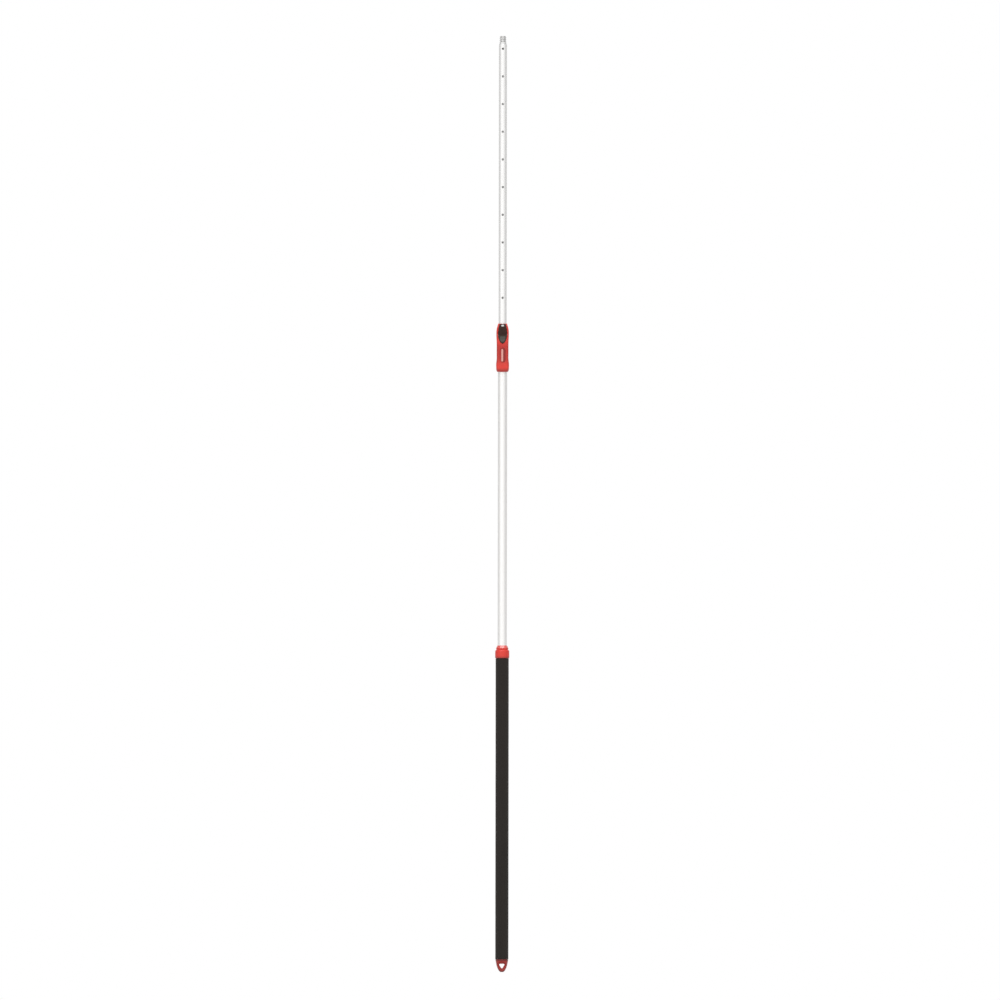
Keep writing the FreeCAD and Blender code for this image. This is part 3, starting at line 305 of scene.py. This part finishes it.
def make_cast(name, tone, rough):
    """Machined, tumbled metal, with painted shade inside the drilled hole in the front, which
    is also rougher.
    """
    t = Material(name)
    turning = t.streaks(stretch=(60, 60, 5200), detail=3.0, rough=0.6)
    pits = t.noise(scale=1500.0, detail=4.0, rough=0.65)
    base = t.mottle(pits, (0.3, 0.7), shade(tone, 0.82), tone)
    # the threaded part is duller
    thread = t.where(z=(2.5600, None), soft=0.002)
    wide = t.noise(scale=180.0, rough=0.6)
    dull = t.remap(wide, span=(0.35, 0.75), to=(0.05, 0.45))
    base = t.tint(base, thread, amount=dull, colour=shade(tone, 0.55))
    # darker in the thread roots
    near_axis = t.remap(t.from_axis(), span=(0.0077, 0.0087), to=(1.0, 0.0), smooth=True)
    roots = t.times(thread, near_axis)
    base = t.tint(base, roots, amount=0.42, colour=(0.34, 0.33, 0.31))
    # painted shade darkening the inside of the drilled hole
    drilled = t.where(
        x=(-0.0034, 0.0034), y=(-0.00960, 0.0), z=(2.5386, 2.5454), soft=0.0003
    )
    base = t.tint(base, drilled, amount=0.48, colour=(0.12, 0.118, 0.11))
    roughness = t.remap(pits, span=(0.2, 0.8), to=(rough - 0.08, rough + 0.12))
    height = t.plus(pits, turning, amount=0.7)
    return t.set(
        Base_Color=base,
        Metallic=0.9,
        Roughness=t.plus(roughness, drilled, amount=0.3),
        Normal=t.bump(height, strength=0.25, distance=0.00006, ease=0.00025),
    )


def make_steel(name, tone, rough, axis):
    """Bright plated metal with fine turning lines across the axis, x or y."""
    t = Material(name)
    stretch = {"x": (6000, 80, 80), "y": (80, 6000, 80)}[axis]
    lines = t.streaks(stretch=stretch, detail=2.0, rough=0.5)
    stain = t.noise(scale=700.0, detail=4.0, rough=0.6)
    return t.set(
        Base_Color=t.mottle(stain, (0.35, 0.75), tone, shade(tone, 0.8)),
        Metallic=1.0,
        Roughness=t.remap(stain, span=(0.2, 0.8), to=(rough - 0.06, rough + 0.12)),
        Normal=t.bump(lines, strength=0.2, distance=0.00004),
    )


def red_skin(t, tone, dark):
    """Colour, roughness and height of semi-gloss moulded plastic: faint flow marks,
    orange-peel under a fine spark-eroded grain, and hairline rubs that dull the gloss."""
    flow = t.streaks(stretch=(46, 46, 20), detail=3.0, rough=0.5, distortion=0.6)
    fine = t.noise(scale=420.0, rough=0.55)
    grain = t.noise(scale=5200.0, detail=2.0)
    peel = t.noise(scale=650.0, detail=2.0)
    hairs = t.streaks(stretch=(1500, 1500, 160), detail=6.0, rough=0.75, distortion=0.7)
    rubs = t.above(hairs, start=0.68, end=0.76)
    base = t.mottle(flow, (0.3, 0.72), tone, dark)
    base = t.mottle(fine, (0.35, 0.8), base, shade(tone, 1.22, lift=0.008), most=0.18)
    base = t.tint(base, rubs, amount=0.12, colour=(0.85, 0.36, 0.30))
    roughness = t.remap(fine, span=(0.25, 0.75), to=(0.26, 0.35))
    roughness = t.plus(roughness, rubs, amount=0.16)
    return base, roughness, t.math("ADD", t.times(grain, 0.35), peel)


def set_red(t, base, roughness, height, gloss=0.5):
    return t.set(
        Base_Color=base,
        Roughness=roughness,
        Normal=t.bump(height, strength=0.14, distance=0.00005, ease=0.00035),
        IOR=1.47,
        Specular_IOR_Level=gloss,
        Subsurface_Weight=0.04,
        Subsurface_Radius=(0.006, 0.0015, 0.001),
        Subsurface_Scale=0.2,
    )


def make_red_collar(name, tone, dark):
    t = Material(name)
    base, roughness, height = red_skin(t, tone, dark)
    # the cone under the tube: a painted highlight lightens its colour, and it is polished to a
    # higher gloss
    cone = t.where(z=(0.8918, None), soft=0.0006)
    # painted highlight on the cone
    base = t.tint(base, cone, amount=0.10, colour=(0.92, 0.62, 0.58))
    roughness = t.math("SUBTRACT", roughness, t.times(cone, 0.10))
    gloss = t.plus(0.5, cone, amount=0.5)
    # painted shade where it sits down on the foam
    low = t.where(z=(None, 0.8680), soft=0.007)
    darkening_noise = t.noise(scale=300.0, detail=4.0, rough=0.6)
    painted_shade_amount = t.remap(darkening_noise, span=(0.3, 0.7), to=(0.48, 0.66))
    # painted shade darkening the bottom edge
    base = t.tint(base, low, amount=painted_shade_amount, colour=(0.10, 0.022, 0.018))
    return set_red(t, base, roughness, height, gloss)


def make_red_housing(name, tone, dark):
    t = Material(name)
    base, roughness, height = red_skin(t, tone, dark)
    # a fine parting line down each side
    y = t.axis("Y")
    off_line = t.math("ABSOLUTE", t.math("SUBTRACT", y, 0.0006))
    line = t.remap(off_line, span=(0.00008, 0.0003), to=(1.0, 0.0), smooth=True)
    height = t.plus(height, line, amount=1.6)
    # the waist below the lever has a fine etched grip texture, and painted shade makes it a
    # deeper red, most at the front
    waist = t.where(z=(1.6760, 1.7270), soft=0.020)
    front = t.remap(y, span=(-0.0175, -0.004), to=(1.0, 0.22), smooth=True)
    waist = t.times(waist, front)
    etched = t.noise(scale=3300.0, detail=2.0)
    # painted shade darkening the waist
    base = t.tint(base, waist, amount=0.46, colour=shade(dark, 0.42))
    # painted shade on a recessed floor in the waist, darkest on its right
    floor = t.where(
        x=(-0.0083, 0.0083), y=(-0.01835, -0.0172), z=(1.6770, 1.7190), soft=0.0003
    )
    right = t.where(x=(0.0014, None), soft=0.002)
    depth = t.remap(right, span=(0.0, 1.0), to=(0.30, 0.78))
    base = t.tint(base, floor, amount=depth, colour=shade(dark, 0.30, lift=0.004))
    roughness = t.plus(roughness, waist, amount=0.16)
    roughness = t.plus(roughness, floor, amount=0.12)
    height = t.plus(height, t.times(waist, etched), amount=1.3)
    # painted shade, darker towards the lower end
    low = t.where(z=(None, 1.6600), soft=0.009)
    base = t.tint(base, low, amount=0.42, colour=(0.16, 0.030, 0.022))
    return set_red(t, base, roughness, height)


def make_red_cap(name, tone, dark):
    t = Material(name)
    base, roughness, height = red_skin(t, tone, dark)
    # darker, rougher and scuffed towards the foot
    darkening_noise = t.noise(scale=240.0, detail=5.0, rough=0.7)
    low = t.times(
        t.remap(t.axis("Z"), span=(0.0, 0.016), to=(1.0, 0.25)),
        t.remap(darkening_noise, span=(0.25, 0.75), to=(0.45, 1.0)),
    )
    base = t.tint(base, low, amount=0.55, colour=(0.10, 0.045, 0.038))
    # painted shadow of the foam in the line under it
    top = t.where(z=(0.0305, None), soft=0.004)
    base = t.tint(base, top, amount=0.72, colour=(0.07, 0.008, 0.006))
    roughness = t.plus(roughness, low, amount=0.22)
    height = t.plus(height, low, amount=0.8)
    return set_red(t, base, roughness, height)


def make_black_plastic(name, tone, rough):
    """Satin moulded lever: warm black, fine grain, lighter rubs where a thumb slides."""
    t = Material(name)
    grain = t.noise(scale=4200.0, rough=0.6)
    soft = t.noise(scale=260.0)
    hairs = t.streaks(stretch=(1400, 1400, 220), detail=6.0, rough=0.75, distortion=0.8)
    rubs = t.above(hairs, start=0.66, end=0.76)
    base = t.mottle(soft, (0.3, 0.7), tone, shade(tone, 1.35, lift=0.002))
    # painted highlight lightening the thumb dish
    dish = t.where(z=(1.7320, 1.7530), soft=0.006)
    base = t.tint(base, dish, amount=0.6, colour=(0.056, 0.047, 0.034))
    base = t.tint(base, rubs, amount=0.16, colour=(0.09, 0.085, 0.08))
    roughness = t.remap(soft, span=(0.25, 0.75), to=(rough - 0.05, rough + 0.07))
    return t.set(
        Base_Color=base,
        Roughness=t.plus(roughness, rubs, amount=0.1),
        Normal=t.bump(grain, strength=0.22, distance=0.00005, ease=0.0003),
        IOR=1.46,
        Specular_IOR_Level=0.24,
    )


def make_rubber(name, tone):
    """Matt, finely grained rubber."""
    t = Material(name)
    grain = t.noise(scale=3800.0, detail=4.0, rough=0.6)
    soft = t.noise(scale=500.0)
    return t.set(
        Base_Color=t.mottle(soft, (0.3, 0.7), tone, shade(tone, 1.22, lift=0.002)),
        Roughness=t.remap(grain, span=(0.2, 0.8), to=(0.55, 0.75)),
        Normal=t.bump(grain, strength=0.3, distance=0.00008),
        IOR=1.45,
    )


def make_foam_skin(name, tone):
    """Closed-cell foam: a matt skin of small cells, larger open pits, lengthwise
    extrusion banding and a dusty bloom."""
    t = Material(name)
    cells = t.cells(scale=1450.0, vector=t.stretched((1.0, 1.0, 0.8)))
    pit = t.remap(t.cells(scale=520.0), span=(0.0, 0.22), to=(1.0, 0.0), smooth=True)
    # pits come in patches
    patches = t.noise(scale=130.0, detail=2.0, rough=0.55)
    pit = t.times(pit, t.remap(patches, span=(0.5, 0.62)))
    band = t.streaks(stretch=(60, 60, 5), detail=3.0, rough=0.55)
    bloom = t.noise(scale=24.0, detail=4.0, rough=0.6)
    base = t.mottle(cells, (0.0, 0.7), shade(tone, 1.35), shade(tone, 0.72))
    base = t.mottle(band, (0.3, 0.7), base, shade(tone, 1.28), most=0.5)
    base = t.mottle(bloom, (0.45, 0.8), base, shade(tone, 1.9, lift=0.002), most=0.30)
    base = t.tint(base, pit, amount=0.7, colour=shade(tone, 0.3))
    height = t.math("SUBTRACT", t.times(cells, -0.6), t.times(pit, 1.2))
    return t.set(
        Base_Color=base,
        Roughness=t.remap(bloom, span=(0.3, 0.7), to=(0.80, 0.93)),
        Normal=t.bump(height, strength=0.6, distance=0.00028),
        IOR=1.35,
        Sheen_Weight=0.12,
        Sheen_Roughness=0.5,
        Sheen_Tint=(0.55, 0.52, 0.50),
    )


def make_acetal(name, tone):
    """Pale turned plastic."""
    t = Material(name)
    turning = t.streaks(stretch=(90, 90, 4200), detail=2.0, rough=0.5)
    soft = t.noise(scale=300.0)
    return t.set(
        Base_Color=t.mottle(soft, (0.3, 0.7), tone, shade(tone, 0.9)),
        Roughness=t.remap(soft, span=(0.25, 0.75), to=(0.38, 0.5)),
        Normal=t.bump(turning, strength=0.2, distance=0.00005),
    )


def make_felt(name, tone):
    """Matt, fibrous felt."""
    t = Material(name)
    fibre = t.streaks(stretch=(2600, 2600, 900), detail=6.0, rough=0.75, distortion=1.5)
    return t.set(
        Base_Color=t.mottle(fibre, (0.3, 0.7), tone, shade(tone, 0.6)),
        Roughness=0.95,
        Normal=t.bump(fibre, strength=0.7, distance=0.0002),
        Sheen_Weight=0.3,
    )


def make_inlay(name, tone):
    """Smooth pale plate."""
    t = Material(name)
    soft = t.noise(scale=900.0)
    grain = t.noise(scale=4000.0, detail=2.0)
    return t.set(
        Base_Color=t.mottle(soft, (0.3, 0.7), tone, shade(tone, 0.93)),
        Roughness=t.remap(soft, span=(0.25, 0.75), to=(0.30, 0.42)),
        Normal=t.bump(grain, strength=0.15, distance=0.00004),
    )


RED = {"tone": srgb(214, 59, 47), "dark": srgb(197, 45, 36)}
# the cap's red is the housing red darkened by painted shade
CAP_RED_PAINTED_SHADE = {"tone": srgb(166, 42, 34), "dark": srgb(148, 33, 27)}
MATERIALS = {
    "aluminium": make_aluminium("tube_aluminium", tone=(0.955, 0.945, 0.930), rough=0.36),
    "aluminium_inner": make_aluminium(
        "inner_tube_aluminium", tone=(0.955, 0.948, 0.936), rough=0.33
    ),
    "cast": make_cast("cast_tip", tone=(0.93, 0.93, 0.925), rough=0.34),
    "steel_y": make_steel("pin_steel", tone=(0.88, 0.87, 0.85), rough=0.24, axis="y"),
    "steel_x": make_steel("pivot_steel", tone=(0.82, 0.81, 0.80), rough=0.28, axis="x"),
    "steel_dark": make_steel("screw_steel", tone=(0.50, 0.50, 0.51), rough=0.36, axis="y"),
    "rivet": make_steel("rivet_aluminium", tone=(0.84, 0.84, 0.83), rough=0.35, axis="x"),
    "red_collar": make_red_collar("red_collar_moulded", **RED),
    "red_housing": make_red_housing("red_housing_moulded", **RED),
    "red_cap": make_red_cap("red_cap_moulded", **CAP_RED_PAINTED_SHADE),
    "black": make_black_plastic("lever_black", tone=(0.0230, 0.0086, 0.0050), rough=0.42),
    "rubber": make_rubber("pad_rubber", tone=(0.060, 0.056, 0.046)),
    "foam": make_foam_skin("grip_foam", tone=(0.0152, 0.0122, 0.0099)),
    "acetal": make_acetal("bush_acetal", tone=(0.80, 0.80, 0.78)),
    "felt": make_felt("wiper_felt", tone=(0.42, 0.41, 0.38)),
    "inlay": make_inlay("inlay_pale", tone=srgb(214, 154, 144)),
}

NODE_MATERIAL = {
    "outer_tube": "aluminium",
    "inner_tube": "aluminium_inner",
    "threaded_tip": "cast",
    "tip_pin": "steel_x",
    "lock_pin": "steel_y",
    "pivot_pin": "steel_x",
    "lever_spring": "steel_y",
    "housing_screws": "steel_dark",
    "collar_screw": "steel_dark",
    "end_cap_rivets": "rivet",
    "inner_bush_rivet": "rivet",
    "lock_housing": "red_housing",
    "grip_collar": "red_collar",
    "end_cap": "red_cap",
    "lock_lever": "black",
    "thumb_pad": "rubber",
    "bush_ring": "rubber",
    "foam_grip": "foam",
    "guide_bush": "acetal",
    "inner_bush": "acetal",
    "wiper_ring": "felt",
    "inlay_plate": "inlay",
}


def dress(obj, node):
    """Give an object the material of a CAD node."""
    obj.data.materials.clear()
    obj.data.materials.append(MATERIALS[NODE_MATERIAL[node]])


for node_name in NODE_MATERIAL:
    dress(NODES[node_name], node_name)


# ------------------------------------------------------------------ mesh helpers


def mesh_object(name, verts, faces):
    """An object from vertices in metres, with its faces turned outwards."""
    mesh = bpy.data.meshes.new(name)
    mesh.from_pydata(verts, [], faces)
    mesh.validate()
    mesh.update()
    obj = bpy.data.objects.new(name, mesh)
    bpy.context.scene.collection.objects.link(obj)
    bm = bmesh.new()
    bm.from_mesh(mesh)
    bmesh.ops.recalc_face_normals(bm, faces=bm.faces)
    bm.to_mesh(mesh)
    bm.free()
    mesh.update()
    return obj


def smooth(obj, degrees):
    """Smooth shading, with the edges sharper than the angle kept crisp."""
    obj.data.shade_smooth()
    obj.data.set_sharp_from_angle(angle=math.radians(degrees))


def turned(name, profile, segments, wave=None):
    """A closed profile of (radius, height) points in mm, turned about the axis.
    wave(angle, radius, height) may move the radius a little."""
    verts, faces = [], []
    count = len(profile)
    for k in range(segments):
        angle = 2 * math.pi * k / segments
        cos, sin = math.cos(angle), math.sin(angle)
        for radius, z in profile:
            if wave:
                radius = wave(angle, radius, z)
            verts.append((radius * cos * MM, radius * sin * MM, z * MM))
    for k in range(segments):
        i, j = k * count, ((k + 1) % segments) * count
        for p in range(count):
            q = (p + 1) % count
            faces.append((i + p, j + p, j + q, i + q))
    return mesh_object(name, verts, faces)


def stand_for(obj, node, body):
    """Put a built object in the place of a CAD node."""
    dress(obj, node)
    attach(obj, body)
    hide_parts(node)


def z_span(node):
    """Bottom and top of a CAD node in mm."""
    low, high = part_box(node)
    return low[2] / MM, high[2] / MM


# ------------------------------------------------------------------ outer tube


def make_outer_tube():
    bottom, top = z_span("outer_tube")
    outer, inner, chamfer = OUTER_RADIUS, OUTER_RADIUS - TUBE_WALL, OUTER_CHAMFER
    heights = np.linspace(bottom + chamfer, top - chamfer, OUTER_RINGS)
    profile = [(outer, z) for z in heights]
    profile += [(outer - chamfer, top), (inner + chamfer, top)]
    profile += [(inner, z) for z in heights[::-1]]
    profile += [(inner + chamfer, bottom), (outer - chamfer, bottom)]
    obj = turned("outer_tube_drawn", profile, OUTER_SEGMENTS)
    smooth(obj, 32.0)
    stand_for(obj, "outer_tube", "handle")


# ------------------------------------------------------------------ inner tube


def fluted_section():
    """Outer and inner outlines of the inner tube, as lists of (x, y) in mm with matching
    counts. The flute runs down the back."""
    half, floor = FLUTE_HALF_WIDTH, FLUTE_FLOOR
    half_inner, floor_inner = half + TUBE_WALL, floor - TUBE_WALL
    flute_angle = math.asin(half / INNER_RADIUS)
    start = math.pi / 2 + flute_angle + FLUTE_SHOULDER
    end = math.pi / 2 - flute_angle - FLUTE_SHOULDER + 2 * math.pi
    outer, inner = [], []
    for k in range(INNER_ARC_STEPS + 1):
        angle = start + (end - start) * k / INNER_ARC_STEPS
        for outline, radius in ((outer, INNER_RADIUS), (inner, INNER_BORE)):
            outline.append((radius * math.cos(angle), radius * math.sin(angle)))
    # the flute's right side, from the round wall in to its floor
    lip = INNER_RADIUS * math.cos(flute_angle)
    lip_inner = math.sqrt(INNER_BORE**2 - half_inner**2)
    side_outer = [
        (half + 0.05, lip - 0.12),
        (half, lip - 0.42),
        (half - 0.05, floor + 0.25),
        (half - 0.3, floor),
    ]
    side_inner = [
        (half_inner, lip_inner - 0.02),
        (half_inner, floor_inner + 0.25),
        (half_inner - 0.25, floor_inner),
        (half - 0.3, floor_inner),
    ]
    for outline, side, depth in ((outer, side_outer, floor), (inner, side_inner, floor_inner)):
        outline += side + [(0.0, depth)] + [(-x, y) for x, y in reversed(side)]
    return outer, inner


def add_rod(verts, faces, radius, start, end, axis, height, sides):
    """Add a closed rod along x or y, from start to end, crossing the pole's centre plane
    at the height."""
    base = len(verts)
    for along in (start, end):
        for k in range(sides):
            angle = 2 * math.pi * (k + 0.5) / sides
            across, up = radius * math.cos(angle), radius * math.sin(angle)
            x, y = (across, along) if axis == "y" else (along, across)
            verts.append((x * MM, y * MM, (height + up) * MM))
    for k in range(sides):
        m = (k + 1) % sides
        faces.append((base + k, base + m, base + sides + m, base + sides + k))
    faces.append(tuple(base + k for k in range(sides))[::-1])
    faces.append(tuple(base + sides + k for k in range(sides)))


def make_hole_cutter(holes):
    """Rods for the row of front holes, the small low front hole and the cross hole."""
    verts, faces = [], []
    front = {"start": -CUT_OUTSIDE, "end": -CUT_INSIDE, "axis": "y"}
    across = {"start": -CUT_OUTSIDE, "end": CUT_OUTSIDE, "axis": "x"}
    for z in holes:
        add_rod(verts, faces, HOLE_RADIUS, height=z, sides=40, **front)
    add_rod(verts, faces, LOW_HOLE_RADIUS, height=LOW_HOLE, sides=24, **front)
    add_rod(verts, faces, CROSS_HOLE_RADIUS, height=CROSS_HOLE, sides=32, **across)
    return mesh_object("inner_tube_cutter", verts, faces)


def extrude_section(outer, inner, levels):
    """Vertices and faces of a tube with its section repeated at each level."""
    count = len(outer)
    verts, faces = [], []
    for z in levels:
        verts += [(x * MM, y * MM, z * MM) for x, y in outer + inner]
    for k in range(len(levels) - 1):
        a, b = k * 2 * count, (k + 1) * 2 * count
        for p in range(count):
            q = (p + 1) % count
            faces.append((a + p, a + q, b + q, b + p))
            faces.append((a + count + q, a + count + p, b + count + p, b + count + q))
    top = (len(levels) - 1) * 2 * count
    for p in range(count):
        q = (p + 1) % count
        faces.append((q, p, count + p, count + q))
        faces.append((top + p, top + q, top + count + q, top + count + p))
    return verts, faces


def cut_holes(obj, cutter):
    """Cut the holes for good and tidy the faces around them."""
    modifier = obj.modifiers.new("holes", "BOOLEAN")
    modifier.operation = "DIFFERENCE"
    modifier.solver = "EXACT"
    modifier.object = cutter
    depsgraph = bpy.context.evaluated_depsgraph_get()
    mesh = bpy.data.meshes.new_from_object(obj.evaluated_get(depsgraph))
    obj.modifiers.clear()
    uncut = obj.data
    obj.data = mesh
    bpy.data.meshes.remove(uncut)
    bpy.data.objects.remove(cutter)
    mesh.name = "inner_tube_drawn"
    bm = bmesh.new()
    bm.from_mesh(mesh)
    bmesh.ops.dissolve_degenerate(bm, dist=1e-6, edges=bm.edges)
    bmesh.ops.triangulate(bm, faces=[face for face in bm.faces if len(face.verts) > 4])
    bm.to_mesh(mesh)
    bm.free()


def set_round_normals(mesh):
    """Exact normals on the round walls, so that the faces cut by the holes shade cleanly."""
    min_facing = 0.97
    slack = 0.06 * MM
    mesh.shade_smooth()
    normals = []
    for face in mesh.polygons:
        outwards = Vector((face.center.x, face.center.y, 0)).normalized()
        is_wall = abs(face.normal.dot(outwards)) > min_facing
        for loop in face.loop_indices:
            co = mesh.vertices[mesh.loops[loop].vertex_index].co
            radius = math.hypot(co.x, co.y)
            radial = Vector((co.x, co.y, 0)) / max(radius, 1e-9)
            in_flute = co.y > 0 and abs(co.x) < FLUTE_ZONE * MM
            is_round = is_wall and not in_flute
            if is_round and abs(radius - INNER_RADIUS * MM) < slack:
                normals.append(radial)
            elif is_round and abs(radius - INNER_BORE * MM) < slack:
                normals.append(-radial)
            else:
                normals.append(face.normal.copy())
    mesh.normals_split_custom_set(normals)


def make_inner_tube():
    bottom, top = z_span("inner_tube")
    holes = [TOP_HOLE - HOLE_PITCH * k for k in range(HOLE_COUNT)]
    # rings close above and below each hole, and halfway between holes
    levels = {bottom, top}
    for z in holes:
        levels |= {z - HOLE_MARGIN, z + HOLE_MARGIN, z + HOLE_PITCH / 2}
    levels |= {LOW_HOLE - LOW_HOLE_MARGIN, LOW_HOLE + LOW_HOLE_MARGIN}
    levels |= {CROSS_HOLE - CROSS_HOLE_MARGIN, CROSS_HOLE + CROSS_HOLE_MARGIN}
    levels = sorted(z for z in levels if bottom <= z <= top)
    obj = mesh_object("inner_tube_drawn", *extrude_section(*fluted_section(), levels))
    cut_holes(obj, make_hole_cutter(holes))
    set_round_normals(obj.data)
    stand_for(obj, "inner_tube", "inner_section")


# ------------------------------------------------------------------ foam grip


def foam_wave(angle, radius, z):
    """The slight unevenness of foam pulled over a tube; the bore and lips stay true."""
    if radius < 15.0:
        return radius
    cos, sin = math.cos(angle), math.sin(angle)
    broad = noise.noise(Vector((cos * 0.9, sin * 0.9, z * 0.011)))
    small = noise.noise(Vector((cos * 2.6 + 7.0, sin * 2.6, z * 0.05)))
    return radius - 0.09 + 0.11 * broad + 0.045 * small


def make_foam_grip():
    """Soft closed-cell sleeve with crowned ends and a soft inner lip."""
    bottom, top = z_span("foam_grip")
    crown, bore = FOAM_CROWN, FOAM_BORE
    shoulder = FOAM_RADIUS - crown
    # the crown as (radius, rise) points, from the side towards the end
    angles = [math.pi / 2 * k / FOAM_CROWN_STEPS for k in range(1, FOAM_CROWN_STEPS)]
    arc = [(shoulder + crown * math.cos(a), crown * math.sin(a)) for a in angles]
    # the end and lip as (radius, depth below the end) points, from the crown to the bore
    lip = [(shoulder - 0.6, 0.0), (14.2, 0.02), (13.3, 0.2), (bore, 0.8)]
    heights = np.linspace(bottom + crown, top - crown, FOAM_RINGS)
    profile = [(FOAM_RADIUS, z) for z in heights]
    profile += [(radius, top - crown + rise) for radius, rise in arc]
    profile += [(radius, top - depth) for radius, depth in lip]
    profile += [(bore, z) for z in np.linspace(top - 8, bottom + 8, 12)]
    profile += [(radius, bottom + depth) for radius, depth in reversed(lip)]
    profile += [(radius, bottom + crown - rise) for radius, rise in reversed(arc)]
    obj = turned("foam_grip_soft", profile, FOAM_SEGMENTS, foam_wave)
    smooth(obj, 60.0)
    stand_for(obj, "foam_grip", "handle")


# ------------------------------------------------------------------ stage

# Brightness of the light tent as (place, level) stops.
TENT_FRONT = [          # from the back (0) to the front (1)
    (0.0, 0.94), (0.22, 0.86), (0.48, 0.72), (0.66, 0.73),
    (0.80, 0.93), (0.92, 1.28), (1.0, 1.42),
]
TENT_LEVEL = [          # from straight down (0) to straight up (1)
    (0.0, 0.36), (0.40, 0.66), (0.50, 0.92), (0.60, 1.00), (1.0, 1.10),
]
TENT_POWER = 0.80

# Camera framing as fractions of the pole's height.
VIEW_SIZE = 1.06837607
VIEW_SHIFT = -0.002564103
VIEW_RISE = 0.504273504
CAMERA_DISTANCE = 6.0
CAMERA_LEAN = -0.073        # degrees


def make_floor():
    """Pale near the pole, running out to the white of the background."""
    bpy.ops.mesh.primitive_plane_add(size=18.0, location=(0, 0, 0))
    floor = bpy.context.object
    floor.name = "floor"
    t = Material("floor_pale")
    fade = t.remap(t.from_axis(), span=(1.2, 7.5), smooth=True)
    t.set(
        Base_Color=t.mix(fade, (0.63, 0.63, 0.63), (0.0, 0.0, 0.0)),
        Roughness=0.9,
        Emission_Color=(1.0, 1.0, 1.0),
        Emission_Strength=fade,
    )
    floor.data.materials.append(t.material)


def make_world():
    """A light tent: bright in front, greyer at the sides and below, and plain white to
    the camera."""
    world = bpy.data.worlds.new("tent")
    bpy.context.scene.world = world
    t = Nodes(world, "Generated")
    output = t.add("ShaderNodeOutputWorld")
    direction = t.add("ShaderNodeSeparateXYZ")
    t.put(direction.inputs[0], t.coord)

    def brightness(axis, to, stops):
        # levels are halved to stay below 1 in the ramp
        place = t.remap(direction.outputs[axis], (-1.0, 1.0), to)
        return t.ramp(place, [(at, level / 2) for at, level in stops], "EASE")

    front = brightness("Y", (1.0, 0.0), TENT_FRONT)
    level = brightness("Z", (0.0, 1.0), TENT_LEVEL)
    tent = t.add("ShaderNodeBackground")
    t.put(tent.inputs[0], t.mix(1.0, front, level, blend="MULTIPLY"))
    # 4 makes up for the two halved brightnesses
    t.put(tent.inputs[1], 4.0 * TENT_POWER)
    plain = t.add("ShaderNodeBackground")
    t.put(plain.inputs[0], (1.0, 1.0, 1.0))
    t.put(plain.inputs[1], 1.0)
    seen = t.add("ShaderNodeLightPath").outputs["Is Camera Ray"]
    mixer = t.add("ShaderNodeMixShader")
    for socket, value in zip(mixer.inputs, (seen, tent.outputs[0], plain.outputs[0])):
        t.put(socket, value)
    t.put(output.inputs[0], mixer.outputs[0])


def make_sun(name, azimuth, elevation, spread, power):
    """A softbox far away, so that the whole pole is lit evenly. Angles are in degrees;
    azimuth 0 is in front and grows to the right."""
    light = bpy.data.lights.new(name, "SUN")
    light.energy = power
    light.angle = math.radians(spread)
    obj = bpy.data.objects.new(name, light)
    turn, rise = math.radians(azimuth), math.radians(elevation)
    towards = Vector((
        math.sin(turn) * math.cos(rise),
        -math.cos(turn) * math.cos(rise),
        math.sin(rise),
    ))
    obj.location = towards * 5.0
    obj.rotation_mode = "QUATERNION"
    obj.rotation_quaternion = towards.to_track_quat("Z", "Y")
    bpy.context.scene.collection.objects.link(obj)


def make_camera():
    """A level view from the front, framing the whole pole."""
    foot = Vector(CAD_LOW).z
    height = Vector(CAD_HIGH).z - foot
    camera = bpy.data.cameras.new("camera")
    obj = bpy.data.objects.new("camera", camera)
    bpy.context.scene.collection.objects.link(obj)
    bpy.context.scene.camera = obj
    camera.type = "ORTHO"
    camera.ortho_scale = height * VIEW_SIZE
    camera.clip_start = 0.05
    camera.clip_end = 60.0
    obj.rotation_mode = "XYZ"
    obj.rotation_euler = (math.radians(90), math.radians(CAMERA_LEAN), 0)
    obj.location = (height * VIEW_SHIFT, -CAMERA_DISTANCE, foot + height * VIEW_RISE)


make_outer_tube()
make_inner_tube()
make_foam_grip()
make_floor()
make_world()
make_sun("top_softbox", azimuth=4, elevation=54, spread=22, power=0.80)
make_sun("top_left_softbox", azimuth=-34, elevation=53, spread=22, power=0.46)
make_sun("top_right_softbox", azimuth=40, elevation=53, spread=22, power=0.42)
make_sun("side_softbox", azimuth=-48, elevation=22, spread=70, power=0.25)
make_camera()
view = bpy.context.scene.view_settings
view.view_transform = "Standard"
view.look = "None"
